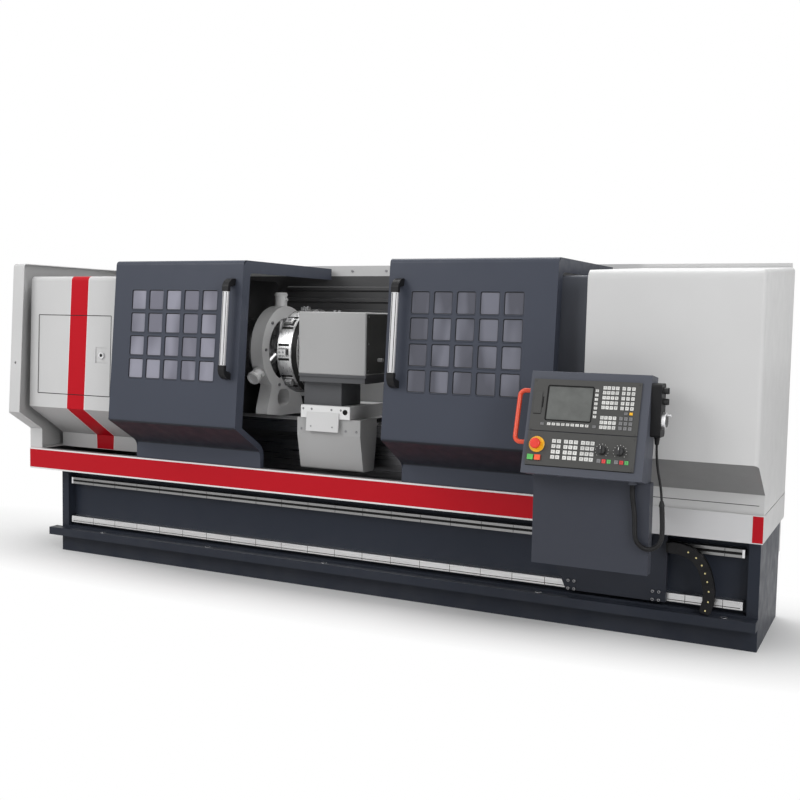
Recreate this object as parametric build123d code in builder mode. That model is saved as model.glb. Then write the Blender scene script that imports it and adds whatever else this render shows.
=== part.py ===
import os
from math import atan2, cos, degrees, hypot, pi, radians, sin, tan

from build123d import *

os.makedirs("parts", exist_ok=True)

# A flat-bed CNC turning lathe. Millimetres, +X along the bed towards the tailstock,
# +Y towards the back of the machine, +Z up, origin on the floor under the middle.

# Overall reach
half_length = 1906
base_depth = 600
guard_thick = 40
rear_reach = base_depth + guard_thick
sheet = 4
slide_gap = 0.4
turn_gap = 0.3

# Base casting with its bolting ledge and the recess for the front rails
base_left = 145 - half_length
base_right = half_length - 16
base_top = 452
ledge_bottom = 92
ledge_thick = 40
ledge_proud = 58
ledge_overhang = 40
recess_depth = 50
recess_border = 45
recess_sill = 8
anchor_bore = 11
anchor_places = (base_left + 316, base_left + 997, base_left + 1678, base_right - 903, base_right - 127)

# Rails for the control panel carriage
rail_height = 34
rail_proud = 8
lower_rail_z = 176
upper_rail_z = 388
rail_inset = 16

# Chip tray and the band along its front
lip_proud = 86
lip_height = 112
lip_fold = 34
band_thick = 4
band_joint_x = half_length - 630
tray_rear = base_depth - 4

# Bed with its two ways
bed_left = -1300
bed_right = 1500
bed_top = 790
bed_rear = base_depth - 80
bed_front = bed_rear - 400
bed_web = 50
bed_way_thick = 60
vee_height = 14

# Spindle line
spindle_y = bed_rear - 200
spindle_z = 1130
spindle_radius = 70
nose_radius = 104
head_left = -1240
head_right = -775
chuck_radius = 157
chuck_back = -745
chuck_face = -640
chuck_bore_radius = 42
jaw_width = 46
jaw_inner = 46
jaw_length = 92
jaw_proud = 36
jaw_root = 26

# Covers of the headstock end
box_right = 84 - half_length
box_front = 246
box_round = 18
box_top_front = 203
box_knee_z = 770
box_leg_z = 670
box_top = 1550
cover_front = 173
cover_top_front = 150
cover_knee_z = 800
cover_foot_y = 70
cover_foot_z = 640
cover_top = 1485
cover_right = -760
cover_back = base_depth - 10
cover_round = 24

# Access door in the headstock cover
access_left = box_right + 59
access_right = access_left + 487
access_bottom = 875
access_top = 1283
access_gap = 0.8
access_corner = 2
access_thick = 14
hinge_round = 6
hinge_bore = 3
hinge_lug = 18
hinge_reach = 16
lock_inset = 58
lock_z = 1083
lock_radius = 17
lock_recess = 80
lock_floor = 5
lock_knob = 9
lock_cam = 44

# Sliding doors
door_width = 756
left_door_x = -1170
right_door_x = 347
door_front = 297
door_top_front = 234
door_top = 1555
door_knee_z = 774
door_foot_y = -85
door_foot_z = 648
door_back = base_depth - 25
door_flange = 58
foot_flange = 28
door_bend = 22
window_columns = 5
window_rows = 4
window_width = 87
window_height = 96
window_pitch_x = 105.5
window_pitch_z = 111
window_shift = -14
window_top_drop = 140
window_corner = 9
pane_margin = 14
handle_inset = 56
handle_drop = 86
handle_length = 470
handle_stand = 56
handle_width = 30
grip_length = 64

# Covers of the tailstock end and along the back
right_cover_left = right_door_x + door_width + 135
right_cover_front = 300
right_cover_top_front = 285
right_cover_knee_z = 782
right_cover_top = 1500
right_cover_rear_top = 1552
right_cover_foot_y = -80
right_cover_foot_z = 643
inner_guard_left = 700
guard_foot = 48
guard_y = base_depth
guard_top = 1572
guard_rail_height = 54
guard_skirt_z = 170
guard_rib_z = (1450, 1390, 1330, 1270)
guard_rib_height = 30
guard_rib_proud = 12

# Saddle and cross slide
saddle_left = -228
saddle_right = 112
saddle_top = 824
saddle_front = bed_front - 170
skirt_z = 747
apron_bottom = 578
apron_lean = 36
slide_left = -203
slide_right = 62
slide_top = 885
slide_front = saddle_front - 10
slide_rear = bed_rear - 100
slide_plate = 14
dovetail_half = 80
dovetail_flare = 15
dovetail_height = 24
dovetail_start = 34
slide_block = 120
splash_bottom = 764

# Turret
housing_left = -202
housing_right = 156
turret_y = spindle_y - 220
housing_front = turret_y - 190
housing_rear = turret_y + 100
housing_bottom = 1034
housing_top = 1323
pedestal_left = -200
pedestal_right = 2
pedestal_front = turret_y - 136
pedestal_rear = turret_y + 50
turret_radius = 198
turret_back_radius = 205
turret_back_thick = 38
turret_thick = 80
station_count = 8
station_width = 40
station_depth = 30
tool_proud = 18

# Steady rest
steady_x = -565
steady_thick = 70
steady_radius = 222
steady_bore = 160
steady_reach = 291
quill_boss_radius = 31
quill_radius = 22
quill_tip_radius = 62
steady_foot_front = bed_front + 30
steady_foot_rear = bed_rear - 30
steady_window = (110, 84)
steady_window_corner = 36
steady_window_rise = 92

# Tailstock
tail_left = 400
tail_right = 640
tail_quill_radius = 45
tail_quill_left = 290
centre_tip_x = 196

# Control panel and its carriage
carriage_left = 1105
carriage_right = 1528
carriage_bottom = 158
carriage_top = 440
carriage_front = -18
carriage_flare = 43
column_left = 1111
column_right = 1558
column_bottom = 372
column_front = -495
column_depth = 50
column_top = 712
panel_left = 1087
panel_right = 1546
panel_bottom_y = -582
panel_bottom_z = 729
panel_top_y = -470
panel_top_z = 1108
panel_back_top = (-375, 1095)
panel_back_bottom = (-440, 700)
plate_thick = 6
plate_border = 32
plate_left_border = 15
screen_plate_height = 202
plate_split = 3
key_proud = 3
chain_width = 42
chain_height = 50
chain_radius = 112
chain_top_z = 385

# Emergency stop, the foremost piece, and the depth of the base front behind the origin
stop_down = 253
stop_ring_thick = 3
stop_travel = 5
stop_neck = 9
stop_head = 13
stop_radius = 20
stop_rim = 6
panel_run = hypot(panel_top_y - panel_bottom_y, panel_top_z - panel_bottom_z)
panel_lean = atan2(panel_top_y - panel_bottom_y, panel_top_z - panel_bottom_z)
stop_up = panel_run - plate_border - stop_down - stop_radius
stop_out = plate_thick + stop_ring_thick + stop_travel + 1 + stop_neck + stop_head
rim_out = (stop_out - stop_rim) * cos(panel_lean) + stop_rim
front_reach = rim_out - (stop_up + stop_rim) * sin(panel_lean) - panel_bottom_y
y_base = (front_reach - rear_reach) / 2


def deep(y):
    """The world y of a depth measured from the front face of the base."""
    return y_base + y


def deep_points(points):
    """Side-view points (depth, height) as world (y, z)."""
    return [(deep(y), z) for y, z in points]


def block(x, y, z, mode=Mode.ADD):
    """A rectangular block from its (low, high) pairs, y as depth from the base front."""
    with Locations(((x[0] + x[1]) / 2, deep((y[0] + y[1]) / 2), (z[0] + z[1]) / 2)):
        Box(x[1] - x[0], y[1] - y[0], z[1] - z[0], mode=mode)


def side_prism(points, x, mode=Mode.ADD):
    """A side-view outline carried along X between two places."""
    with BuildSketch(Plane.YZ.offset(x[0])) as section:
        with BuildLine():
            Polyline(*deep_points(points), close=True)
        make_face()
    extrude(section.sketch, amount=x[1] - x[0], mode=mode)


def front_prism(points, y, mode=Mode.ADD):
    """A front-view outline (x, z) carried along Y between two depths."""
    with BuildSketch(Plane.XZ.offset(-deep(y[1]))) as section:
        with BuildLine():
            Polyline(*points, close=True)
        make_face()
    extrude(section.sketch, amount=y[1] - y[0], mode=mode)


def bent_sheet(points, thickness, x, bend):
    """A folded sheet: the side-view line gets a thickness on its inner side."""
    with BuildSketch(Plane.YZ.offset(x[0])) as section:
        with BuildLine():
            FilletPolyline(*deep_points(points), radius=bend)
            offset(amount=thickness, side=Side.LEFT)
        make_face()
    extrude(section.sketch, amount=x[1] - x[0])


def along_x(radius, x, y, z, mode=Mode.ADD):
    """A round bar along X between two places."""
    with Locations(Plane(origin=(x[0], deep(y), z), x_dir=(0, 1, 0), z_dir=(1, 0, 0))):
        Cylinder(radius, x[1] - x[0], align=(Align.CENTER, Align.CENTER, Align.MIN), mode=mode)


def save(part, label):
    """Name a finished piece and write it."""
    part.label = label
    export_step(part, f"parts/{label}.step")


# Base: one welded and machined casting, bolted down through its ledge
recess_low = ledge_bottom + ledge_thick + recess_sill
recess_high = base_top - recess_sill
recess_left = base_left + recess_border
recess_right = base_right - recess_border
ledge_left = base_left - ledge_overhang
with BuildPart() as base_casting:
    block((base_left, base_right), (0, base_depth), (0, base_top))
    block((ledge_left, base_right), (-ledge_proud, 0), (ledge_bottom, ledge_bottom + ledge_thick))
    block((recess_left, recess_right), (0, recess_depth), (recess_low, recess_high), Mode.SUBTRACT)
    for place in anchor_places:
        with Locations((place, deep(-ledge_proud / 2), ledge_bottom)):
            Cylinder(
                anchor_bore, ledge_thick, align=(Align.CENTER, Align.CENTER, Align.MIN), mode=Mode.SUBTRACT
            )
save(base_casting.part, "base_casting")

# Two ground rails on the recess floor that the control panel runs on
rail_span = (recess_left + rail_inset, recess_right - rail_inset)
rail_groove = 5
with BuildPart() as front_rails:
    for rail_z in (lower_rail_z, upper_rail_z):
        low = rail_z - rail_height / 2
        high = rail_z + rail_height / 2
        rail_section = [
            (recess_depth, low),
            (recess_depth, high),
            (rail_proud, high),
            (rail_proud, rail_z + rail_groove),
            (rail_proud + rail_groove, rail_z),
            (rail_proud, rail_z - rail_groove),
            (rail_proud, low),
        ]
        side_prism(rail_section, rail_span)
save(front_rails.part, "front_rails")

# Chip tray: a folded floor with a lip at the front, sides and rear, open where the bed stands
tray_floor_top = base_top + sheet
lip_top = base_top + lip_height
lip_y = -lip_proud
with BuildPart() as chip_tray:
    tray_section = [
        (lip_y + lip_fold, lip_top),
        (lip_y, lip_top),
        (lip_y, base_top),
        (tray_rear, base_top),
        (tray_rear, lip_top),
        (tray_rear - sheet, lip_top),
        (tray_rear - sheet, tray_floor_top),
        (lip_y + sheet, tray_floor_top),
        (lip_y + sheet, lip_top - sheet),
        (lip_y + lip_fold, lip_top - sheet),
    ]
    side_prism(tray_section, (-half_length, half_length))
    wall_top = lip_top - sheet
    for wall_x in ((-half_length, -half_length + sheet), (half_length - sheet, half_length)):
        block(wall_x, (lip_y + sheet, tray_rear - sheet), (tray_floor_top, wall_top))
    block(
        (bed_left, bed_right),
        (bed_front + bed_web, bed_rear - bed_web),
        (base_top, tray_floor_top),
        Mode.SUBTRACT,
    )
save(chip_tray.part, "chip_tray")

# The band along the tray front: a long painted strip and a bright one at the tailstock end
band_y = (lip_y - band_thick, lip_y)
band_z = (base_top, lip_top)
with BuildPart() as fascia_red:
    block((-half_length, band_joint_x), band_y, band_z)
save(fascia_red.part, "fascia_red")

with BuildPart() as fascia_silver:
    block((band_joint_x, half_length), band_y, band_z)
save(fascia_silver.part, "fascia_silver")

# Bed: an I-shaped casting with a vee way in front and a flat way behind
web_front = bed_front + bed_web
web_rear = bed_rear - bed_web
way_low = bed_top - bed_way_thick
way_width = 95
vee_y = bed_front + 30
gully_z = bed_top - 20
with BuildPart() as bed_casting:
    bed_section = [
        (web_front, base_top),
        (web_rear, base_top),
        (web_rear, way_low - bed_web),
        (bed_rear, way_low),
        (bed_rear, bed_top),
        (bed_rear - way_width, bed_top),
        (bed_rear - way_width, gully_z),
        (bed_front + way_width, gully_z),
        (bed_front + way_width, bed_top),
        (vee_y + vee_height, bed_top),
        (vee_y, bed_top + vee_height),
        (vee_y - vee_height, bed_top),
        (bed_front, bed_top),
        (bed_front, way_low),
        (web_front, way_low - bed_web),
    ]
    side_prism(bed_section, (bed_left, bed_right))
save(bed_casting.part, "bed_casting")

# Headstock casting on the bed, bored for the spindle
with BuildPart() as headstock_casting:
    head_section = [
        (bed_front + 10, bed_top),
        (bed_rear, bed_top),
        (bed_rear, spindle_z + 90),
        (spindle_y + 110, spindle_z + 190),
        (spindle_y - 110, spindle_z + 190),
        (bed_front + 10, spindle_z + 90),
    ]
    side_prism(head_section, (head_left, head_right))
    side_prism(
        [
            (vee_y - vee_height - slide_gap, bed_top),
            (vee_y, bed_top + vee_height + slide_gap),
            (vee_y + vee_height + slide_gap, bed_top),
        ],
        (head_left, head_right),
        Mode.SUBTRACT,
    )
    along_x(
        spindle_radius + turn_gap, (head_left, head_right), spindle_y, spindle_z, Mode.SUBTRACT
    )
save(headstock_casting.part, "headstock_casting")

# Casing at the far left end: tall box that steps in to a leg on the tray
with BuildPart() as left_end_cover:
    end_section = [
        (cover_back, lip_top),
        (cover_back, box_top),
        (-box_top_front, box_top),
        (-box_front, box_knee_z),
        (lip_y, box_leg_z),
        (lip_y, lip_top),
    ]
    side_prism(end_section, (-half_length, box_right))
    fillet(left_end_cover.edges().filter_by(Axis.X).group_by(Axis.Z)[-1], box_round)
    front_corners = left_end_cover.edges().filter_by(
        lambda edge: edge.center().Y < deep(-box_top_front + 1) and edge.bounding_box().size.Z > 500
    )
    fillet(front_corners.group_by(Axis.X)[0], box_round)
    with BuildSketch(Plane.YZ.offset(-half_length + box_round)) as casing_room:
        with BuildLine():
            Polyline(*deep_points(end_section), close=True)
        make_face()
        offset(amount=-sheet, kind=Kind.INTERSECTION)
        fillet(casing_room.vertices().group_by(Axis.Y)[-1], box_round - sheet)
    extrude(casing_room.sketch, amount=box_right + half_length, mode=Mode.SUBTRACT)
    with Locations(Plane(origin=(-half_length + 45, deep(-box_front + 60), 1030), z_dir=(0, 1, 0))):
        Cylinder(7, 200, mode=Mode.SUBTRACT)
save(left_end_cover.part, "left_end_cover")

# Headstock cover: folded housing with a cut-out for the access door
cover_section = [
    (cover_back, lip_top),
    (cover_back, cover_top),
    (-cover_top_front, cover_top),
    (-cover_front, cover_knee_z),
    (cover_foot_y, cover_foot_z),
    (cover_foot_y, lip_top),
]
cover_lean = (cover_front - cover_top_front) / (cover_top - cover_knee_z)
hinge_x = access_left + access_gap + access_thick / 2


def cover_y(z):
    """Depth of the headstock cover's leaning front at a height."""
    return -cover_front + (z - cover_knee_z) * cover_lean


def hinge_plane(z):
    """A plane across the access door's hinge line, which leans with the cover."""
    hinge_point = (hinge_x, deep(cover_y(z) + access_thick / 2), z)
    return Plane(origin=hinge_point, x_dir=(1, 0, 0), z_dir=(0, cover_lean, 1))


with BuildPart() as headstock_cover:
    side_prism(cover_section, (box_right, cover_right))
    fillet(headstock_cover.edges().filter_by(Axis.X).group_by(Axis.Z)[-1], cover_round)
    cover_bottom = headstock_cover.faces().sort_by(Axis.Z)[0]
    cover_left_wall = headstock_cover.faces().sort_by(Axis.X)[0]
    offset(amount=-sheet, openings=[cover_bottom, cover_left_wall])
    with BuildSketch(Plane.XZ.offset(-deep(-cover_top_front + 30))) as access_outline:
        with Locations(((access_left + access_right) / 2, (access_bottom + access_top) / 2)):
            RectangleRounded(access_right - access_left, access_top - access_bottom, access_corner)
    extrude(amount=80, mode=Mode.SUBTRACT)
    along_x(nose_radius + 20, (cover_right - 20, cover_right + 1), spindle_y, spindle_z, Mode.SUBTRACT)
    block(
        (cover_right - 20, cover_right + 1),
        (bed_front - slide_gap, bed_rear + slide_gap),
        (lip_top - 1, bed_top + vee_height + slide_gap),
        Mode.SUBTRACT,
    )
    # A lug with a pin above and below the access door, behind the sheet
    for hinge_z, lug_z in (
        (access_bottom, (access_bottom - hinge_reach, access_bottom)),
        (access_top, (access_top, access_top + hinge_reach)),
    ):
        lug_y = (cover_y(hinge_z) + sheet / 2, cover_y(hinge_z) + access_thick)
        block((hinge_x - hinge_lug / 2, hinge_x + hinge_lug / 2), lug_y, lug_z)
        with Locations(hinge_plane(hinge_z)):
            Cylinder(hinge_bore - turn_gap, 2 * hinge_reach - 2)
save(headstock_cover.part, "headstock_cover")

# Access door: flush leaning panel with a rounded hinge edge and a recess for its lock
door_low = access_bottom + access_gap
door_high = access_top - access_gap
with BuildPart() as access_door:
    access_section = [
        (cover_y(door_low), door_low),
        (cover_y(door_high), door_high),
        (cover_y(door_high) + access_thick, door_high),
        (cover_y(door_low) + access_thick, door_low),
    ]
    side_prism(access_section, (access_left + access_gap, access_right - access_gap))
    fillet(access_door.edges().filter_by(Axis.Y, tolerance=3), access_corner - access_gap)
    access_width = access_right - access_left - 2 * access_gap
    with BuildSketch(hinge_plane(door_low - access_corner)) as door_plan:
        with Locations(((access_width - access_thick) / 2, 0)):
            Rectangle(access_width, access_thick)
        fillet(door_plan.vertices().group_by(Axis.X)[0], hinge_round)
    extrude(door_plan.sketch, amount=door_high - door_low + 2 * access_corner, mode=Mode.INTERSECT)
    for hinge_z in (door_low, door_high):
        with Locations(hinge_plane(hinge_z)):
            Cylinder(hinge_bore, 2 * hinge_reach, mode=Mode.SUBTRACT)
    lock_x = access_right - lock_inset
    block(
        (lock_x - lock_recess / 2, lock_x + lock_recess / 2),
        (cover_y(lock_z) - 10, cover_y(lock_z) + lock_floor),
        (lock_z - lock_recess / 2, lock_z + lock_recess / 2),
        Mode.SUBTRACT,
    )
    lock_plane = Plane(
        origin=(lock_x, deep(cover_y(lock_z) + lock_floor), lock_z), x_dir=(1, 0, 0), z_dir=(0, -1, 0)
    )
    with Locations(lock_plane):
        Cylinder(lock_radius / 2 + turn_gap, 60, mode=Mode.SUBTRACT)
save(access_door.part, "access_door")

# Quarter-turn lock: knob in front, square cam behind the panel
with BuildPart() as access_lock:
    with Locations(lock_plane.offset(slide_gap)):
        Cylinder(lock_radius, lock_knob, align=(Align.CENTER, Align.CENTER, Align.MIN))
        Cylinder(lock_radius / 2, access_thick + 4, align=(Align.CENTER, Align.CENTER, Align.MAX))
    with Locations(lock_plane.offset(1 - access_thick)):
        Box(lock_radius - 1, lock_cam, 5, align=(Align.CENTER, Align.CENTER, Align.MAX))
    key_slot = 4
    with Locations(lock_plane.offset(slide_gap + lock_knob - key_slot + 1)):
        Box(
            key_slot,
            lock_radius,
            key_slot,
            align=(Align.CENTER, Align.CENTER, Align.MIN),
            mode=Mode.SUBTRACT,
        )
save(access_lock.part, "access_lock")

# Spindle with its stepped nose, bored through
spindle_left = head_left - 60
with BuildPart() as spindle:
    along_x(spindle_radius, (spindle_left, head_right + slide_gap), spindle_y, spindle_z)
    along_x(nose_radius, (head_right + slide_gap, chuck_back), spindle_y, spindle_z)
    along_x(chuck_bore_radius, (spindle_left, chuck_back), spindle_y, spindle_z, Mode.SUBTRACT)
save(spindle.part, "spindle")

# Three-jaw chuck body with radial jaw slots
with BuildPart() as chuck_body:
    along_x(chuck_radius, (chuck_back, chuck_face), spindle_y, spindle_z)
    chamfer(chuck_body.edges().group_by(Axis.X)[-1], 6)
    along_x(chuck_bore_radius, (chuck_back, chuck_face), spindle_y, spindle_z, Mode.SUBTRACT)
    face_plane = Plane(origin=(chuck_face, deep(spindle_y), spindle_z), x_dir=(0, 1, 0), z_dir=(1, 0, 0))
    with Locations(face_plane):
        with PolarLocations(0, 3, start_angle=90):
            Box(
                2 * chuck_radius,
                jaw_width + 2 * turn_gap,
                2 * (jaw_root + turn_gap),
                align=(Align.MIN, Align.CENTER, Align.CENTER),
                mode=Mode.SUBTRACT,
            )
save(chuck_body.part, "chuck_body")

# Stepped chuck jaws, one in each slot
for number in range(3):
    angle = 90 + 120 * number
    jaw_plane = Plane(
        origin=(chuck_face, deep(spindle_y), spindle_z),
        x_dir=(0, cos(radians(angle)), sin(radians(angle))),
        z_dir=(1, 0, 0),
    )
    with BuildPart() as chuck_jaw:
        with BuildSketch(Plane(origin=jaw_plane.origin, x_dir=jaw_plane.x_dir, z_dir=jaw_plane.y_dir)):
            with BuildLine():
                # Local x runs outwards, local y runs from the chuck back along -X
                Polyline(
                    (jaw_inner, jaw_root),
                    (jaw_inner + jaw_length, jaw_root),
                    (jaw_inner + jaw_length, -jaw_proud / 3),
                    (jaw_inner + 2 * jaw_length / 3, -jaw_proud / 3),
                    (jaw_inner + 2 * jaw_length / 3, -2 * jaw_proud / 3),
                    (jaw_inner + jaw_length / 3, -2 * jaw_proud / 3),
                    (jaw_inner + jaw_length / 3, -jaw_proud),
                    (jaw_inner, -jaw_proud),
                    close=True,
                )
            make_face()
        extrude(amount=jaw_width / 2, both=True)
    save(chuck_jaw.part, f"chuck_jaw_{number + 1}")

# Steady rest: ring on a foot with an arched window and three quill bosses
quill_angles = (90, 210, 330)
steady_left = steady_x - steady_thick / 2
with BuildPart() as steady_frame:
    with BuildSketch(Plane.YZ.offset(steady_left)) as ring_outline:
        with Locations((deep(spindle_y), spindle_z)):
            Circle(steady_radius)
        with BuildLine():
            Polyline(
                *deep_points(
                    [
                        (steady_foot_front, bed_top + slide_gap),
                        (steady_foot_rear, bed_top + slide_gap),
                        (steady_foot_rear, bed_top + 40),
                        (spindle_y + 120, spindle_z - 150),
                        (spindle_y - 120, spindle_z - 150),
                        (steady_foot_front, bed_top + 40),
                    ]
                ),
                close=True,
            )
        make_face()
    extrude(ring_outline.sketch, amount=steady_thick)
    with BuildSketch(Plane.YZ.offset(steady_left)) as ring_holes:
        with Locations((deep(spindle_y - 20), bed_top + steady_window_rise)):
            RectangleRounded(*steady_window, steady_window_corner)
        with Locations((deep(spindle_y), spindle_z)):
            Circle(steady_bore)
    extrude(ring_holes.sketch, amount=steady_thick, mode=Mode.SUBTRACT)
    side_prism(
        [
            (vee_y - vee_height - slide_gap, bed_top),
            (vee_y, bed_top + vee_height + slide_gap),
            (vee_y + vee_height + slide_gap, bed_top),
        ],
        (steady_left, steady_left + steady_thick),
        Mode.SUBTRACT,
    )
    for angle in quill_angles:
        outward = (0, cos(radians(angle)), sin(radians(angle)))
        boss_plane = Plane(
            origin=(steady_x, deep(spindle_y), spindle_z), x_dir=(1, 0, 0), z_dir=outward
        )
        boss_length = steady_reach - steady_bore - 10
        with Locations(boss_plane.offset(steady_bore + 10)):
            Cylinder(quill_boss_radius, boss_length, align=(Align.CENTER, Align.CENTER, Align.MIN))
    for angle in quill_angles:
        outward = (0, cos(radians(angle)), sin(radians(angle)))
        bore_plane = Plane(
            origin=(steady_x, deep(spindle_y), spindle_z), x_dir=(1, 0, 0), z_dir=outward
        )
        with Locations(bore_plane.offset(steady_bore - 30)):
            Cylinder(
                quill_radius + turn_gap,
                steady_reach,
                align=(Align.CENTER, Align.CENTER, Align.MIN),
                mode=Mode.SUBTRACT,
            )
save(steady_frame.part, "steady_frame")

# Steady quills with their rounded tips towards the work
for number, angle in enumerate(quill_angles):
    outward = (0, cos(radians(angle)), sin(radians(angle)))
    quill_plane = Plane(origin=(steady_x, deep(spindle_y), spindle_z), x_dir=(1, 0, 0), z_dir=outward)
    with BuildPart() as steady_quill:
        quill_length = steady_reach - 14 - quill_tip_radius
        with Locations(quill_plane.offset(quill_tip_radius)):
            Cylinder(quill_radius, quill_length, align=(Align.CENTER, Align.CENTER, Align.MIN))
        rims = steady_quill.edges().filter_by(GeomType.CIRCLE)
        chamfer(rims.sort_by_distance((steady_x, deep(spindle_y), spindle_z))[0], 8)
    save(steady_quill.part, f"steady_quill_{number + 1}")

# Saddle: bridge over both ways with a dovetail on top and a skirt in front
slide_middle = (slide_left + slide_right) / 2
with BuildPart() as saddle:
    block((saddle_left, saddle_right), (saddle_front, bed_rear + 6), (bed_top + slide_gap, saddle_top))
    block(
        (saddle_left, saddle_right), (saddle_front, bed_front - 4), (skirt_z, bed_top + slide_gap)
    )
    side_prism(
        [
            (vee_y - vee_height - 1, bed_top),
            (vee_y - vee_height - 1, bed_top + slide_gap),
            (vee_y, bed_top + vee_height + 2 * slide_gap + 1),
            (vee_y + vee_height + 1, bed_top + slide_gap),
            (vee_y + vee_height + 1, bed_top),
        ],
        (saddle_left, saddle_right),
        Mode.SUBTRACT,
    )
    front_prism(
        [
            (slide_middle - dovetail_half, saddle_top),
            (slide_middle + dovetail_half, saddle_top),
            (slide_middle + dovetail_half + dovetail_flare, saddle_top + dovetail_height),
            (slide_middle - dovetail_half - dovetail_flare, saddle_top + dovetail_height),
        ],
        (saddle_front + dovetail_start, bed_rear - 10),
    )
save(saddle.part, "saddle")

# Apron below the saddle skirt, its front leaning back towards the tray
with BuildPart() as apron:
    side_prism(
        [
            (saddle_front, skirt_z),
            (saddle_front + apron_lean, apron_bottom),
            (bed_front - 30, apron_bottom),
            (bed_front - 4, skirt_z),
        ],
        (saddle_left, saddle_right),
    )
    fillet(apron.edges().filter_by(Axis.X).group_by(Axis.Z)[0], 12)
save(apron.part, "apron")

# Cross slide with its drilled front plate, splash plate and rear block
with BuildPart() as cross_slide:
    slide_body = (slide_front + slide_plate, slide_rear)
    block((slide_left, slide_right), slide_body, (saddle_top + slide_gap, slide_top))
    front_prism(
        [
            (slide_middle - dovetail_half - 2 * slide_gap, saddle_top),
            (slide_middle + dovetail_half + 2 * slide_gap, saddle_top),
            (
                slide_middle + dovetail_half + dovetail_flare + 2 * slide_gap,
                saddle_top + dovetail_height + slide_gap,
            ),
            (
                slide_middle - dovetail_half - dovetail_flare - 2 * slide_gap,
                saddle_top + dovetail_height + slide_gap,
            ),
        ],
        (slide_front, slide_rear),
        Mode.SUBTRACT,
    )
    plate_depths = (slide_front, slide_front + slide_plate)
    block((slide_left, slide_right), plate_depths, (saddle_top + slide_gap, slide_top))
    side_prism(
        [
            (slide_front, saddle_top + slide_gap),
            (slide_front, saddle_top + 28),
            (slide_front - 6, saddle_top + 28),
            (slide_front - slide_plate, splash_bottom),
            (slide_front - 8, splash_bottom),
        ],
        (slide_left + 36, slide_right - 56),
    )
    block((slide_left + 93, slide_right), (slide_rear - slide_block, slide_rear), (slide_top, slide_top + 95))
    for hole_x, hole_radius in ((slide_left + 14, 3.5), (slide_left + 60, 3.5), (slide_right - 98, 3.5)):
        with Locations(Plane(origin=(hole_x, deep(slide_front), slide_top - 18), z_dir=(0, -1, 0))):
            Cylinder(hole_radius, 16, mode=Mode.SUBTRACT)
    with Locations(Plane(origin=(slide_right - 25, deep(slide_front), slide_top - 26), z_dir=(0, -1, 0))):
        Cylinder(11, 16, mode=Mode.SUBTRACT)
save(cross_slide.part, "cross_slide")

# Turret pedestal with the flange that carries the housing
flange_low = housing_bottom - 38
with BuildPart() as turret_pedestal:
    block((pedestal_left, pedestal_right), (pedestal_front, pedestal_rear), (slide_top, flange_low))
    block(
        (housing_left + 2, housing_right - 8),
        (housing_front + 10, housing_rear),
        (flange_low, housing_bottom - 12),
    )
    block(
        (housing_left, housing_right),
        (housing_front + 3, housing_rear),
        (housing_bottom - 12, housing_bottom),
    )
save(turret_pedestal.part, "turret_pedestal")

# Turret housing, a box casting with broken edges
with BuildPart() as turret_housing:
    block((housing_left, housing_right), (housing_front, housing_rear), (housing_bottom, housing_top))
    chamfer(turret_housing.edges(), 4)
    with Locations(Plane(origin=(housing_right, deep(turret_y - 70), housing_bottom + 70), z_dir=(1, 0, 0))):
        Cylinder(9, 26, align=(Align.CENTER, Align.CENTER, Align.MIN))
save(turret_housing.part, "turret_housing")

# Tool turret: slotted disc with a tool block in each station and a backing disc
turret_right = housing_left - slide_gap
turret_middle = turret_right - turret_back_thick
turret_left = turret_middle - turret_thick
station_plane = Plane(
    origin=((turret_left + turret_middle) / 2, deep(turret_y), spindle_z), x_dir=(0, 1, 0), z_dir=(1, 0, 0)
)
with BuildPart() as turret_disc:
    along_x(turret_back_radius, (turret_middle, turret_right), turret_y, spindle_z)
    chamfer(turret_disc.edges().group_by(Axis.X)[0], 8)
    along_x(turret_radius, (turret_left, turret_middle), turret_y, spindle_z)
    chamfer(turret_disc.edges().group_by(Axis.X)[0], 5)
    along_x(60, (turret_left - 16, turret_left), turret_y, spindle_z)
    with Locations(station_plane):
        with PolarLocations(turret_radius - station_depth, station_count):
            Box(
                3 * station_depth,
                station_width,
                turret_thick - 24,
                align=(Align.MIN, Align.CENTER, Align.CENTER),
                mode=Mode.SUBTRACT,
            )
    with Locations(station_plane):
        with PolarLocations(turret_radius - station_depth, station_count):
            Box(
                station_depth + tool_proud,
                station_width - 12,
                turret_thick - 40,
                align=(Align.MIN, Align.CENTER, Align.CENTER),
            )
save(turret_disc.part, "turret_disc")

# Tailstock body on both ways, bored for its quill
with BuildPart() as tailstock_body:
    with BuildSketch(Plane.YZ.offset(tail_left)) as tail_outline:
        with BuildLine():
            Polyline(
                *deep_points(
                    [
                        (bed_front + 8, bed_top + slide_gap),
                        (bed_rear, bed_top + slide_gap),
                        (bed_rear, bed_top + 70),
                        (spindle_y + 95, spindle_z - 90),
                        (spindle_y + 95, spindle_z),
                        (spindle_y - 95, spindle_z),
                        (spindle_y - 95, spindle_z - 90),
                        (bed_front + 8, bed_top + 70),
                    ]
                ),
                close=True,
            )
        make_face()
        with Locations((deep(spindle_y), spindle_z)):
            Circle(95)
        with Locations((deep(spindle_y), spindle_z)):
            Circle(tail_quill_radius + turn_gap, mode=Mode.SUBTRACT)
    extrude(tail_outline.sketch, amount=tail_right - tail_left)
    side_prism(
        [
            (vee_y - vee_height - 1, bed_top),
            (vee_y - vee_height - 1, bed_top + slide_gap),
            (vee_y, bed_top + vee_height + 2 * slide_gap + 1),
            (vee_y + vee_height + 1, bed_top + slide_gap),
            (vee_y + vee_height + 1, bed_top),
        ],
        (tail_left, tail_right),
        Mode.SUBTRACT,
    )
save(tailstock_body.part, "tailstock_body")

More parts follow.
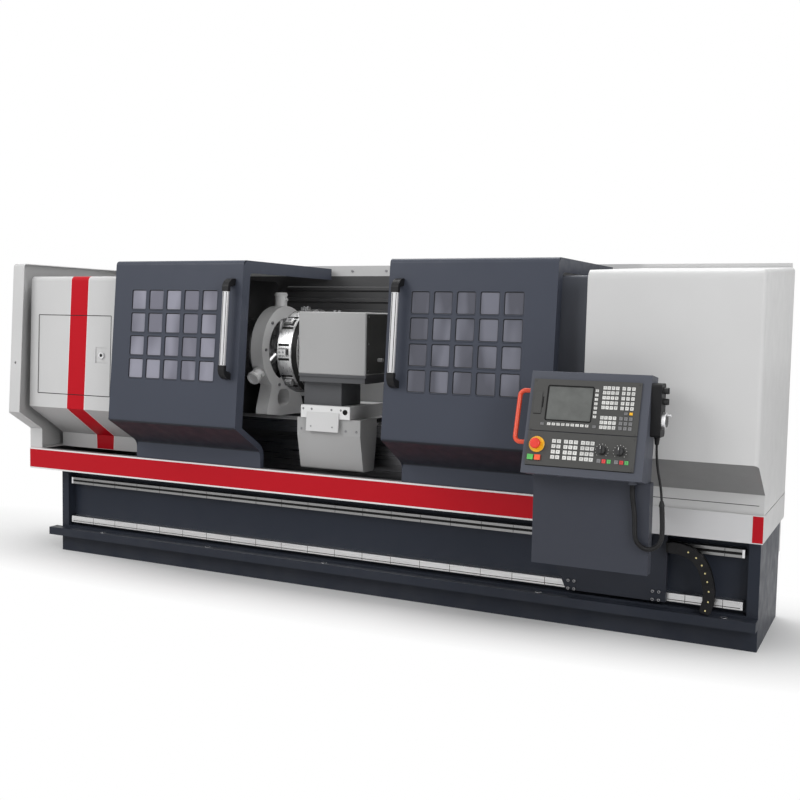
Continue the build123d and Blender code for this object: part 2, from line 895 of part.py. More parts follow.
# Tailstock quill, bored for the shank of the centre
shank_radius = 20
with BuildPart() as tailstock_quill:
    along_x(tail_quill_radius, (tail_quill_left, tail_right - 20), spindle_y, spindle_z)
    along_x(
        shank_radius + turn_gap, (tail_quill_left, tail_quill_left + 90), spindle_y, spindle_z, Mode.SUBTRACT
    )
save(tailstock_quill.part, "tailstock_quill")

# Live centre with a sixty-degree point
with BuildPart() as live_centre:
    point_length = 46
    with BuildSketch(Plane(origin=(0, deep(spindle_y), 0), x_dir=(1, 0, 0), z_dir=(0, -1, 0))):
        with BuildLine():
            Polyline(
                (centre_tip_x, spindle_z),
                (centre_tip_x + point_length, spindle_z + point_length * tan(radians(30))),
                (centre_tip_x + point_length, spindle_z + 34),
                (tail_quill_left - slide_gap, spindle_z + 34),
                (tail_quill_left - slide_gap, spindle_z + shank_radius),
                (tail_quill_left + 80, spindle_z + shank_radius),
                (tail_quill_left + 80, spindle_z),
                close=True,
            )
        make_face()
    revolve(axis=Axis((0, deep(spindle_y), spindle_z), (1, 0, 0)))
save(live_centre.part, "live_centre")

# Cover of the tailstock end
with BuildPart() as right_cover:
    side_prism(
        [
            (cover_back, lip_top),
            (cover_back, right_cover_rear_top),
            (-right_cover_top_front, right_cover_top),
            (-right_cover_front, right_cover_knee_z),
            (right_cover_foot_y, right_cover_foot_z),
            (right_cover_foot_y, lip_top),
        ],
        (right_cover_left, half_length),
    )
    long_edges = right_cover.edges().filter_by(Axis.X)
    fillet(long_edges.group_by(Axis.Z)[-2], 40)
    end_corner = right_cover.edges().group_by(Axis.X)[-1].filter_by(
        lambda edge: edge.bounding_box().size.Z > 500 and edge.center().Y < deep(0)
    )
    fillet(end_corner, 18)
    cover_floor = right_cover.faces().sort_by(Axis.Z)[0]
    cover_open_side = right_cover.faces().sort_by(Axis.X)[0]
    offset(amount=-sheet, openings=[cover_floor, cover_open_side])
save(right_cover.part, "right_cover")

# Set-back guard between the right door and its cover
with BuildPart() as inner_guard:
    bent_sheet(
        [
            (cover_back, cover_top),
            (-cover_top_front, cover_top),
            (-cover_front, cover_knee_z),
            (-guard_foot, skirt_z - 80),
            (-guard_foot, lip_top),
        ],
        sheet,
        (inner_guard_left, right_cover_left),
        12,
    )
save(inner_guard.part, "inner_guard")

# Rear guard: ribbed wall, top rail that the doors hang on, and a skirt behind the base
with BuildPart() as rear_guard:
    block((box_right, base_right), (guard_y, guard_y + 8), (guard_skirt_z, guard_top))
    block(
        (box_right, base_right),
        (guard_y, rear_reach),
        (guard_top - guard_rail_height, guard_top),
    )
    block((box_right, base_right), (guard_y, rear_reach), (guard_skirt_z + 120, guard_skirt_z + 260))
    for rib_z in guard_rib_z:
        rib_low = rib_z - guard_rib_height / 2
        rib_high = rib_z + guard_rib_height / 2
        side_prism(
            [
                (guard_y, rib_low),
                (guard_y, rib_high),
                (guard_y - guard_rib_proud, rib_high - 8),
                (guard_y - guard_rib_proud, rib_low + 8),
            ],
            (cover_right + 60, inner_guard_left - 20),
        )
    front_prism(
        [
            (base_right - 60, guard_skirt_z),
            (base_right + 1, guard_skirt_z),
            (base_right + 1, guard_skirt_z + 110),
        ],
        (guard_y - 1, rear_reach + 1),
        Mode.SUBTRACT,
    )
save(rear_guard.part, "rear_guard")

# Sliding doors: folded shells with framed ends, window grids, panes and handles
door_line = [
    (door_back, door_top),
    (-door_top_front, door_top),
    (-door_front, door_knee_z),
    (door_foot_y, door_foot_z),
    (door_foot_y, lip_top + slide_gap),
]
door_rise = door_top - door_knee_z
door_shift = door_front - door_top_front
door_lean = degrees(atan2(door_shift, door_rise))
window_span_x = (window_columns - 1) * window_pitch_x + window_width
window_span_z = (window_rows - 1) * window_pitch_z + window_height
window_top_z = door_top - window_top_drop
window_middle_z = window_top_z - window_span_z / 2


def door_y(z):
    """Depth of the leaning door front at a height."""
    return -door_front + (z - door_knee_z) * door_shift / door_rise


for side, door_x, handle_x in (
    ("left", left_door_x, left_door_x + door_width - handle_inset),
    ("right", right_door_x, right_door_x + handle_inset),
):
    window_middle_x = door_x + door_width / 2 + window_shift
    with BuildPart() as door_shell:
        bent_sheet(door_line, sheet, (door_x, door_x + door_width), door_bend)
        for flange_x in (door_x, door_x + door_width - sheet):
            bent_sheet(door_line, foot_flange, (flange_x, flange_x + sheet), door_bend + foot_flange)
            bent_sheet(door_line[:3], door_flange, (flange_x, flange_x + sheet), door_bend + door_flange)
        with BuildSketch(Plane.XZ.offset(-deep(-door_top_front + 20))) as window_cuts:
            with Locations((window_middle_x, window_middle_z)):
                with GridLocations(window_pitch_x, window_pitch_z, window_columns, window_rows):
                    RectangleRounded(window_width, window_height, window_corner)
        extrude(window_cuts.sketch, amount=120, mode=Mode.SUBTRACT)
    save(door_shell.part, f"{side}_door_shell")

    with BuildPart() as door_panes:
        pane_low = window_middle_z - window_span_z / 2 - pane_margin
        pane_high = window_top_z + pane_margin
        pane_back = sheet / cos(radians(door_lean))
        side_prism(
            [
                (door_y(pane_low) + pane_back, pane_low),
                (door_y(pane_high) + pane_back, pane_high),
                (door_y(pane_high) + 2 * pane_back, pane_high),
                (door_y(pane_low) + 2 * pane_back, pane_low),
            ],
            (
                window_middle_x - window_span_x / 2 - pane_margin,
                window_middle_x + window_span_x / 2 + pane_margin,
            ),
        )
    save(door_panes.part, f"{side}_door_panes")

    handle_top = door_top - handle_drop
    handle_middle = handle_top - handle_length / 2
    face_normal = (0, -cos(radians(door_lean)), sin(radians(door_lean)))
    handle_side = Plane(
        origin=(handle_x, deep(door_y(handle_middle)), handle_middle),
        x_dir=face_normal,
        z_dir=(-1, 0, 0),
    )
    with BuildPart() as door_handle:
        bar_half = handle_length / 2 - grip_length
        with BuildSketch(handle_side) as bar_profile:
            with Locations((handle_stand - 8, 0)):
                Rectangle(16, 2 * bar_half)
        extrude(bar_profile.sketch, amount=handle_width / 2, both=True)
        fillet(door_handle.edges().filter_by(lambda edge: edge.length > bar_half), 5)
    save(door_handle.part, f"{side}_door_handle")

    with BuildPart() as door_grips:
        for direction in (1, -1):
            tip = direction * handle_length / 2
            root = direction * (handle_length / 2 - grip_length)
            with BuildSketch(handle_side) as grip_profile:
                with BuildLine():
                    Polyline((0, tip - direction * 30), (0, tip), (6, tip))
                    TangentArc((6, tip), (handle_stand + 2, tip - direction * 42), tangent=(1, 0))
                    Polyline(
                        (handle_stand + 2, tip - direction * 42),
                        (handle_stand + 2, root),
                        (handle_stand - 18, root),
                        (handle_stand - 18, tip - direction * 40),
                        (0, tip - direction * 30),
                    )
                make_face()
            extrude(grip_profile.sketch, amount=handle_width / 2 + 2, both=True)
    save(door_grips.part, f"{side}_door_grips")

# Carriage plate on the front rails, with the two arms that carry the column
arm_thick = 10
arm_span = (column_left + 60, column_right - 100)
with BuildPart() as carriage_plate:
    plate_back = rail_proud - slide_gap
    front_prism(
        [
            (carriage_left, carriage_bottom),
            (carriage_right, carriage_bottom),
            (carriage_right, carriage_top),
            (carriage_left - carriage_flare, carriage_top),
            (carriage_left - carriage_flare, carriage_bottom + 92),
        ],
        (carriage_front, plate_back),
    )
    for arm_x in arm_span:
        block(
            (arm_x, arm_x + arm_thick),
            (column_front + column_depth, carriage_front),
            (column_bottom + 6, carriage_top),
        )
    for cluster_x in (carriage_left + 24, carriage_right - 40):
        with BuildSketch(Plane.XZ.offset(-deep(carriage_front))) as bolt_heads:
            with Locations((cluster_x, lower_rail_z + 6)):
                with GridLocations(26, 34, 2, 2):
                    Circle(7)
        extrude(bolt_heads.sketch, amount=5)
save(carriage_plate.part, "carriage_plate")

# Column: folded pan that stands on the arms and carries the panel box
with BuildPart() as panel_column:
    block(
        (column_left, column_right),
        (column_front, column_front + column_depth),
        (column_bottom, column_top),
    )
    column_back_face = panel_column.faces().sort_by(Axis.Y)[-1]
    offset(amount=-sheet, openings=[column_back_face])
    for arm_x in arm_span:
        block(
            (arm_x, arm_x + arm_thick),
            (column_front + sheet, column_front + column_depth),
            (column_bottom + 6, carriage_top),
        )
save(panel_column.part, "panel_column")

# Local plane on the panel front: x to the right from the left edge, y up from the bottom edge
panel_normal = (0, -cos(panel_lean), sin(panel_lean))
panel_face = Plane(
    origin=(panel_left, deep(panel_bottom_y), panel_bottom_z), x_dir=(1, 0, 0), z_dir=panel_normal
)
plate_width = panel_right - panel_left - plate_left_border - plate_border
plate_top = panel_run - plate_border
plate_left = plate_left_border
plate_right = plate_left + plate_width
plate_bottom = plate_border
split_v = plate_top - screen_plate_height


def on_plate(across, down):
    """A place on the insert from its upper left corner."""
    return (plate_left + across, plate_top - down)


stop_place = on_plate(39, stop_down)
feed_place = on_plate(289, 260)
speed_place = on_plate(356, 260)
start_place = on_plate(20, 303)
hold_place = on_plate(48, 303)
stem_radius = 6
cap_travel = 2
stem_room = 2

# Panel box: wedge-shaped housing, its front leaning back
gland_place = (1497, -516)
gland_low = 708
with BuildPart() as panel_box:
    side_prism(
        [
            (panel_bottom_y, panel_bottom_z),
            (panel_top_y, panel_top_z),
            panel_back_top,
            panel_back_bottom,
            (column_front + column_depth, column_top),
            (column_front, column_top),
        ],
        (panel_left, panel_right),
    )
    fillet(panel_box.edges().filter_by(Axis.X).group_by(Axis.Z)[-1], 3)
    with Locations((gland_place[0], deep(gland_place[1]), gland_low)):
        Cylinder(15, 14, align=(Align.CENTER, Align.CENTER, Align.MIN))
    for place, travel in ((stop_place, stop_travel), (start_place, cap_travel), (hold_place, cap_travel)):
        with BuildSketch(panel_face) as stem_pocket:
            with Locations(place):
                Circle(stem_radius + turn_gap)
        extrude(stem_pocket.sketch, amount=-travel - stem_room, mode=Mode.SUBTRACT)
save(panel_box.part, "panel_box")

# Upper plate with the screen frame and the card slot
screen_width = 171
screen_height = 128
screen_place = on_plate(61 + screen_width / 2, 27 + screen_height / 2)
with BuildPart() as screen_plate:
    with BuildSketch(panel_face) as upper_outline:
        with Locations(((plate_left + plate_right) / 2, (plate_top + split_v + plate_split) / 2)):
            Rectangle(plate_width, plate_top - split_v - plate_split)
    extrude(upper_outline.sketch, amount=plate_thick)
    with BuildSketch(panel_face.offset(plate_thick)) as screen_recess:
        with Locations(screen_place):
            Rectangle(screen_width, screen_height)
    extrude(screen_recess.sketch, amount=-3, mode=Mode.SUBTRACT)
    with BuildSketch(panel_face.offset(plate_thick)) as card_cover:
        with Locations(on_plate(24, 92)):
            Rectangle(30, 84)
    extrude(card_cover.sketch, amount=3)
save(screen_plate.part, "screen_plate")

# Lower plate with the ring under the emergency stop
with BuildPart() as operator_plate:
    with BuildSketch(panel_face) as lower_outline:
        with Locations(((plate_left + plate_right) / 2, (split_v + plate_bottom) / 2)):
            Rectangle(plate_width, split_v - plate_bottom)
    extrude(lower_outline.sketch, amount=plate_thick)
    with BuildSketch(panel_face.offset(plate_thick)) as stop_ring:
        with Locations(stop_place):
            Circle(30)
    extrude(stop_ring.sketch, amount=stop_ring_thick)
    for place in (stop_place, feed_place, speed_place, start_place, hold_place):
        with BuildSketch(panel_face) as stem_bore:
            with Locations(place):
                Circle(stem_radius + turn_gap)
        extrude(stem_bore.sketch, amount=plate_thick + stop_ring_thick, mode=Mode.SUBTRACT)
save(operator_plate.part, "operator_plate")

# Membrane keys and indicator keys, flush pads without travel
mdi_columns = (274, 289, 305, 322, 346, 364, 382)
mdi_rows = (26, 44, 63, 82, 100, 141, 159, 177)
operator_columns = (94, 114, 141, 160, 179, 206, 224, 242)
operator_rows = (241, 262, 283, 304)
key_places = [(across, down, 12, 12) for across in mdi_columns for down in mdi_rows]
key_places += [(across, 122, 12, 10) for across in (351, 372)]
key_places += [(61 + 18.6 * number, 177, 14, 11) for number in range(10)]
key_places += [(241, 43 + 16.3 * number, 12, 10) for number in range(7)]
key_places += [(across, down, 15, 14) for across in operator_columns for down in operator_rows]
key_places += [(across, 313, 14, 13) for across in (268, 288, 308, 336, 357, 378)]
with BuildPart() as panel_keys:
    with BuildSketch(panel_face.offset(plate_thick)) as key_outlines:
        for across, down, key_width, key_height in key_places:
            with Locations(on_plate(across, down)):
                Rectangle(key_width, key_height)
    extrude(key_outlines.sketch, amount=key_proud)
save(panel_keys.part, "panel_keys")

# Emergency stop: mushroom head on a stem
neck_offset = plate_thick + stop_ring_thick + stop_travel + 1
with BuildPart() as stop_button:
    for start, radius, height in (
        (slide_gap, stem_radius, neck_offset),
        (neck_offset, 13, stop_neck),
        (neck_offset + stop_neck, stop_radius, stop_head),
    ):
        with BuildSketch(panel_face.offset(start)) as stop_section:
            with Locations(stop_place):
                Circle(radius)
        extrude(stop_section.sketch, amount=height)
    stop_rims = stop_button.edges().filter_by(GeomType.CIRCLE)
    fillet(stop_rims.sort_by(Axis(panel_face.origin, panel_normal))[-1], stop_rim)
save(stop_button.part, "stop_button")

# Cycle start and feed hold: square caps on stems
for name, place in (("start_button", start_place), ("hold_button", hold_place)):
    with BuildPart() as cycle_button:
        with BuildSketch(panel_face.offset(slide_gap)) as cap_stem:
            with Locations(place):
                Circle(stem_radius)
        extrude(cap_stem.sketch, amount=plate_thick + cap_travel + 1)
        with BuildSketch(panel_face.offset(plate_thick + cap_travel + 0.5)) as cap_outline:
            with Locations(place):
                RectangleRounded(23, 20, 2)
        extrude(cap_outline.sketch, amount=5)
    save(cycle_button.part, name)

# Override knobs: skirted, with a pointer rib
for name, place in (("feed_knob", feed_place), ("speed_knob", speed_place)):
    with BuildPart() as override_knob:
        with BuildSketch(panel_face.offset(slide_gap)) as knob_stem:
            with Locations(place):
                Circle(stem_radius)
        extrude(knob_stem.sketch, amount=plate_thick + 4)
        with BuildSketch(panel_face.offset(plate_thick + slide_gap)) as knob_body:
            with Locations(place):
                Circle(17)
        extrude(knob_body.sketch, amount=20, taper=6)
        with BuildSketch(panel_face.offset(plate_thick + 20 + slide_gap)) as knob_rib:
            with Locations(place):
                Rectangle(6, 27)
        extrude(knob_rib.sketch, amount=5)
    save(override_knob.part, name)

# Grab handle on the left wall of the panel box
handle_rod = 9
handle_out = 52
grab_top = panel_run - 70
grab_bottom = panel_run - 272
grab_plane = Plane(
    origin=(panel_left, deep(panel_bottom_y), panel_bottom_z), x_dir=(1, 0, 0), z_dir=panel_normal
).offset(-40)
with BuildPart() as grab_handle:
    with BuildLine(grab_plane) as grab_path:
        FilletPolyline(
            (0, grab_bottom), (-handle_out, grab_bottom), (-handle_out, grab_top), (0, grab_top), radius=22
        )
    with BuildSketch(Plane(origin=grab_path.line @ 0, z_dir=grab_path.line % 0)):
        Circle(handle_rod)
    sweep()
save(grab_handle.part, "grab_handle")

# Handwheel pendant in its holder on the right wall of the panel box
pendant_thick = 38
pendant_y = (-482, -412)
pendant_z = (882, 1078)
pendant_right = panel_right + pendant_thick
pendant_middle_x = panel_right + pendant_thick / 2
pendant_middle_y = (pendant_y[0] + pendant_y[1]) / 2
relief_length = 30
wheel_z = 942
scale_knob_z = 1012
axis_knob_z = 1052
with BuildPart() as pendant_body:
    block((panel_right, pendant_right), pendant_y, pendant_z)
    fillet(pendant_body.edges().filter_by(Axis.X), 12)
    for bore_z in (wheel_z, scale_knob_z, axis_knob_z):
        along_x(
            stem_radius + turn_gap,
            (pendant_right - 16, pendant_right),
            pendant_middle_y,
            bore_z,
            Mode.SUBTRACT,
        )
    with Locations((pendant_middle_x, deep(pendant_middle_y), pendant_z[0])):
        Cone(7, 11, relief_length, align=(Align.CENTER, Align.CENTER, Align.MAX))
save(pendant_body.part, "pendant_body")

wheel_face = pendant_right + slide_gap
with BuildPart() as pendant_wheel:
    along_x(stem_radius, (pendant_right - 12, wheel_face + 3), pendant_middle_y, wheel_z)
    along_x(31, (wheel_face, wheel_face + 14), pendant_middle_y, wheel_z)
    fillet(pendant_wheel.edges().group_by(Axis.X)[-1], 3)
    along_x(5, (wheel_face + 14, wheel_face + 30), pendant_middle_y, wheel_z + 20)
save(pendant_wheel.part, "pendant_wheel")

for name, knob_z in (("pendant_scale_knob", scale_knob_z), ("pendant_axis_knob", axis_knob_z)):
    with BuildPart() as pendant_knob:
        along_x(stem_radius, (pendant_right - 12, wheel_face + 3), pendant_middle_y, knob_z)
        along_x(12, (wheel_face, wheel_face + 16), pendant_middle_y, knob_z)
        block(
            (wheel_face + 16, wheel_face + 20),
            (pendant_middle_y - 2.5, pendant_middle_y + 2.5),
            (knob_z - 11, knob_z + 11),
        )
    save(pendant_knob.part, name)

# Conduit loop and pendant cord: from the gland under the box round and up to the pendant
conduit_radius = 9.5
conduit_route = [
    (gland_place[0], gland_place[1], gland_low),
    (gland_place[0], gland_place[1], 674),
    (1504, -516, 632),
    (1510, -515, 586),
    (1511, -515, 544),
    (1513, -514, 508),
    (1531, -513, 483),
    (1560, -511, 472),
    (1589, -508, 482),
    (1606, -505, 508),
    (1609, -502, 545),
    (1606, -498, 590),
    (1602, -494, 634),
]
cord_radius = 4.5
cord_route = [
    (1600.2, -492.2, 653.8),
    (1598.4, -490.4, 673.6),
    (1591, -477, 706),
    (1577, -458, 748),
    (1569, -450, 788),
    (pendant_middle_x, pendant_middle_y, pendant_z[0] - relief_length - 24),
    (pendant_middle_x, pendant_middle_y, pendant_z[0] - relief_length),
]


def route_radii(points):
    """The largest tangent arc at each corner of a route of straight runs."""
    radii = []
    for before, here, after in zip(points, points[1:], points[2:]):
        run_in = Vector(*here) - Vector(*before)
        run_out = Vector(*after) - Vector(*here)
        half_turn = radians(run_in.get_angle(run_out)) / 2
        radii.append(0.45 * min(run_in.length, run_out.length) / tan(half_turn))
    return radii


for name, route, tube_radius in (
    ("conduit", conduit_route, conduit_radius),
    ("pendant_cord", cord_route, cord_radius),
):
    world_route = [(x, deep(y), z) for x, y, z in route]
    radii = route_radii(world_route)
    print(name, "smallest bend radius", round(min(radii), 1))
    with BuildPart() as tube:
        with BuildLine() as path:
            FilletPolyline(*world_route, radius=radii)
        with BuildSketch(Plane(origin=path.line @ 0, z_dir=path.line % 0)):
            Circle(tube_radius)
        sweep()
    length = sum(edge.length for edge in path.edges())
    print(name, "length", round(length, 1), "volume", round(tube.part.volume, 1))
    print(name, "section times length", round(pi * tube_radius**2 * length, 1))
    save(tube.part, name)

# Ferrule that closes the conduit round the thin cord
ferrule_foot, ferrule_head = (Vector(x, deep(y), z) for x, y, z in (conduit_route[-1], cord_route[0]))
ferrule_axis = ferrule_head - ferrule_foot
with BuildPart() as conduit_ferrule:
    with BuildSketch(Plane(origin=ferrule_foot, z_dir=ferrule_axis)):
        Circle(conduit_radius + 2)
    with BuildSketch(Plane(origin=ferrule_head, z_dir=ferrule_axis)):
        Circle(cord_radius + 1.5)
    loft()
save(conduit_ferrule.part, "conduit_ferrule")

# Energy chain: links along a half loop from the carriage plate down to the ledge
chain_bottom_z = chain_top_z - 2 * chain_radius
chain_turn_x = 1578
chain_y = (-46, -4)
link_count = 14
with BuildPart() as energy_chain:
    outer = chain_radius + chain_height / 2
    inner = chain_radius - chain_height / 2
    with BuildSketch(Plane.XZ.offset(-deep(chain_y[1]))) as chain_outline:
        with Locations((chain_turn_x, (chain_top_z + chain_bottom_z) / 2)):
            Circle(outer)
            Circle(inner, mode=Mode.SUBTRACT)
            Rectangle(outer, 2 * outer, align=(Align.MAX, Align.CENTER), mode=Mode.SUBTRACT)
        for run_z in (chain_top_z, chain_bottom_z):
            with Locations(((carriage_right + chain_turn_x) / 2, run_z)):
                Rectangle(chain_turn_x - carriage_right, chain_height)
    extrude(chain_outline.sketch, amount=chain_y[1] - chain_y[0])
    for number in range(1, link_count):
        turn = radians(90 - 180 * number / link_count)
        notch_x = chain_turn_x + (outer + 2) * cos(turn)
        notch_z = (chain_top_z + chain_bottom_z) / 2 + (outer + 2) * sin(turn)
        with Locations(Plane(origin=(notch_x, deep(chain_y[0] - 1), notch_z), z_dir=(0, 1, 0))):
            Cylinder(5, chain_width + 10, align=(Align.CENTER, Align.CENTER, Align.MIN), mode=Mode.SUBTRACT)
save(energy_chain.part, "energy_chain")
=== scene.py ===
# %% [markdown]
# # A flat-bed turning lathe
# The lathe's solids come ready made and hold every size, joint and clearance. This script dresses them:
# it gives each solid a finish, and adds the parts that are too fine or too many for a solid, such as
# window rims, keys, screws and a corrugated conduit. Everything is in metres, in the lathe's own frame:
# +X runs from the chuck to the tailstock, +Y from the operator to the back, and +Z up.

import bpy
import numpy as np
from mathutils import Matrix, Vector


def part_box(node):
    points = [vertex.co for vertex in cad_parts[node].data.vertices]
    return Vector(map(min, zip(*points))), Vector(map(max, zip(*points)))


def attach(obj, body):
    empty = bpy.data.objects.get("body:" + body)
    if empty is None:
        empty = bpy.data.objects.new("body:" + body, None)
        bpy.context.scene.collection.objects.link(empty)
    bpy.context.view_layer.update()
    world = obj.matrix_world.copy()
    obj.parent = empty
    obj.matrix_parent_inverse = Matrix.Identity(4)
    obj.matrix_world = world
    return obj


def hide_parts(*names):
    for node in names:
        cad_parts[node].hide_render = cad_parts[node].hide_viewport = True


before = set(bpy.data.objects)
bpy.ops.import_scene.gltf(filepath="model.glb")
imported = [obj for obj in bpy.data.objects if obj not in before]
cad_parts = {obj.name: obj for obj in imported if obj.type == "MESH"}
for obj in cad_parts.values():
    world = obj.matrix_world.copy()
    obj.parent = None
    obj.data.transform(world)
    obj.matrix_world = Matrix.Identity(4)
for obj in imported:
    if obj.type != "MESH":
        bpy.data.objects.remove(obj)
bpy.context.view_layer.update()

# %% [markdown]
# ## Places
# Depths on this lathe are read from the front face of its base, because the tray, the covers and the
# rails all start there. That face lies behind the bolting ledge by a known amount, so one measured
# corner of the base gives every depth.

# %% Depth from the front face of the base
LEDGE_PROUD = 0.058
BASE_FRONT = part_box("base_casting")[0].y + LEDGE_PROUD


def deep(depth):
    """The y of a depth behind the base's front face (negative is towards the operator)."""
    return BASE_FRONT + depth


print("base front at y", round(BASE_FRONT, 4))

# %% [markdown]
# ## Camera
# The lathe is seen from its tailstock end at chest height with a long lens, so its far end shrinks only
# a little. Yaw, pitch and roll turn into three unit vectors, which become the camera's own axes. A
# matrix from those vectors is safer than three rotation angles, whose order is easy to get wrong.

# %% Camera
CAMERA_PLACE = np.array([2.4273, deep(-4.3272), 1.2915])
YAW, PITCH, ROLL = np.radians([26.291, -4.324, 1.073])
LENS_MM = 47.6

forward = np.array([-np.sin(YAW) * np.cos(PITCH), np.cos(YAW) * np.cos(PITCH), np.sin(PITCH)])
level_right = np.array([np.cos(YAW), np.sin(YAW), 0.0])
level_up = np.cross(level_right, forward)
camera_right = np.cos(ROLL) * level_right + np.sin(ROLL) * level_up
camera_up = -np.sin(ROLL) * level_right + np.cos(ROLL) * level_up

camera_data = bpy.data.cameras.new("camera")
camera_data.lens = LENS_MM
camera_data.sensor_width = 36
camera_data.clip_end = 100
camera = bpy.data.objects.new("camera", camera_data)
bpy.context.scene.collection.objects.link(camera)
placement = np.eye(4)
placement[:3, :3] = np.stack([camera_right, camera_up, -forward], 1)
placement[:3, 3] = CAMERA_PLACE
camera.matrix_world = Matrix(placement.tolist())
bpy.context.scene.camera = camera
bpy.context.scene.view_settings.view_transform = "Standard"
print("camera at", CAMERA_PLACE.round(3))

# %% [markdown]
# ## Surfaces from arrays
# Almost every added part is either a ring of points carried along a path, or a profile turned round an
# axis. Both are the same thing in numbers: rings of equal length, stacked in order, joined by quads and
# closed by a face at each end. If each ring runs anticlockwise as seen from the last one, the faces look
# outwards, and nothing has to be turned round later.


# %% Rings into faces
def ring_quads(levels, count, wrap):
    """Quads between neighbouring rings. Corner c of ring l has the number l * count + c."""
    last = levels if wrap else levels - 1
    level, corner = np.meshgrid(np.arange(last), np.arange(count), indexing="ij")
    above = (level + 1) % levels
    after = (corner + 1) % count
    here, there = level * count, above * count
    quads = [here + corner, here + after, there + after, there + corner]
    return np.stack(quads, -1).reshape(-1, 4).tolist()


def stacked(rings):
    """A closed body from rings (levels, count, 3), with a flat face at its first and last ring."""
    levels, count, _ = rings.shape
    faces = ring_quads(levels, count, wrap=False)
    faces.append(list(range(count))[::-1])
    faces.append(list(range((levels - 1) * count, levels * count)))
    return rings.reshape(-1, 3), faces


def framed(rings):
    """A closed frame round a hole: the last ring joins the first, so there are no end faces."""
    levels, count, _ = rings.shape
    return rings.reshape(-1, 3), ring_quads(levels, count, wrap=True)


def joined(parts):
    """Several (points, faces) pairs as one, each pair's face numbers moved past the points before it."""
    starts = np.cumsum([0] + [len(points) for points, _ in parts])
    faces = []
    for start, (_, part_faces) in zip(starts, parts):
        faces += [[int(start) + number for number in face] for face in part_faces]
    return np.concatenate([points for points, _ in parts]), faces


# %% [markdown]
# ## Outlines
# A rounded rectangle is four quarter circles: each corner's centre is the half size less the radius,
# and a point on it is that centre plus the radius times cosine and sine. A slab is that outline at its
# foot, again below its top edge, and once more a little smaller at the top, which breaks the edge so
# that it catches the light as a real one does. A frame is a loop of such outlines round a hole.


# %% Outlines and slabs
SMALLEST_CORNER = 0.002


def rounded_outline(width, height, radius, steps=4):
    """Anticlockwise points: sign * (half size - radius) + radius * (cos, sin), quarter by quarter."""
    quarter = np.linspace(0, np.pi / 2, steps + 1)
    angles = np.concatenate([quarter + turn * np.pi / 2 for turn in range(4)])
    sign_x = np.repeat([1, -1, -1, 1], steps + 1)
    sign_y = np.repeat([1, 1, -1, -1], steps + 1)
    x = sign_x * (width / 2 - radius) + radius * np.cos(angles)
    y = sign_y * (height / 2 - radius) + radius * np.sin(angles)
    return np.stack([x, y], -1)


def circle(radius, count=48):
    """Anticlockwise points: radius * (cos, sin) over a full turn."""
    angle = np.linspace(0, 2 * np.pi, count, endpoint=False)
    return radius * np.stack([np.cos(angle), np.sin(angle)], -1)


def polar(radius, degrees):
    """Places on a circle, as (a, b) pairs: radius * (cos, sin) of each angle."""
    turn = np.radians(np.asarray(degrees, float))
    return np.stack([radius * np.cos(turn), radius * np.sin(turn)], -1)


def at_height(outline, height):
    """A flat outline (count, 2) lifted to a height: (count, 3)."""
    return np.column_stack([outline, np.full(len(outline), height)])


def slab(outline, thickness, bevel, base=0.0, centre=(0.0, 0.0)):
    """Outline at the base, at (thickness - bevel), and shrunk by the bevel at the full thickness."""
    inner = outline * (1 - bevel / np.abs(outline).max(0))
    rings = [
        at_height(outline + centre, base),
        at_height(outline + centre, base + thickness - bevel),
        at_height(inner + centre, base + thickness),
    ]
    return stacked(np.stack(rings))


def turned(profile, count, centre=(0.0, 0.0)):
    """A profile of (radius, height) turned round: radius * (cos, sin) of the turn, at its height."""
    profile = np.asarray(profile, float)
    flat = profile[:, None, :1] * circle(1.0, count)[None] + centre
    height = np.broadcast_to(profile[:, None, 1:], (len(profile), count, 1))
    return stacked(np.concatenate([flat, height], -1))


def rounded_frame(width, height, radius, profile, steps=4, centre=(0.0, 0.0)):
    """A frame round a rounded rectangle, which grows by the growth at each (growth, height) of a loop."""
    rings = []
    for growth, level in profile:
        corner = max(radius + growth, SMALLEST_CORNER)
        outline = rounded_outline(width + 2 * growth, height + 2 * growth, corner, steps)
        rings.append(at_height(outline + centre, level))
    return framed(np.stack(rings))


def round_frame(profile, count=48, centre=(0.0, 0.0)):
    """A ring round a hole: a circle at each (radius, height) of a loop."""
    return framed(np.stack([at_height(circle(radius, count) + centre, level) for radius, level in profile]))


def placed(part, origin, right, up):
    """Local points (a, b, c) at origin + a * right + b * up + c * (right x up)."""
    points, faces = part
    axes = np.stack([right, up, np.cross(right, up)])
    return np.asarray(points) @ axes + np.asarray(origin), faces


# %% [markdown]
# ## Pieces
# A piece is a mesh whose points are already where the lathe has them, so its object stays at the origin.
# It rides on a body, so it moves with that body's joint, and it names the record's finish that it takes.


# %% Make a piece
def make_piece(name, part, body, material, smooth=False):
    """A mesh object from (points, faces), with its finish, riding on a body."""
    points, faces = part
    mesh = bpy.data.meshes.new(name)
    mesh.from_pydata(np.asarray(points).tolist(), [], faces)
    mesh.materials.append(material)
    mesh.polygons.foreach_set("use_smooth", np.full(len(mesh.polygons), smooth))
    mesh.update()
    piece = bpy.data.objects.new(name, mesh)
    bpy.context.scene.collection.objects.link(piece)
    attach(piece, body)
    return piece


X_AXIS = np.array([1.0, 0.0, 0.0])
Y_AXIS = np.array([0.0, 1.0, 0.0])
Z_AXIS = np.array([0.0, 0.0, 1.0])

# %% [markdown]
# ## Shader groups
# Four effects come back in many finishes, so each is a node group with named inputs: sprayed paint with
# its faint orange peel, ground metal with its fine lines, the grain of a moulded plastic, and dust that
# settles low down. A group hands out only colours, roughness and heights. The shader itself stays in
# each material, where its fixed values are set on its own sockets.


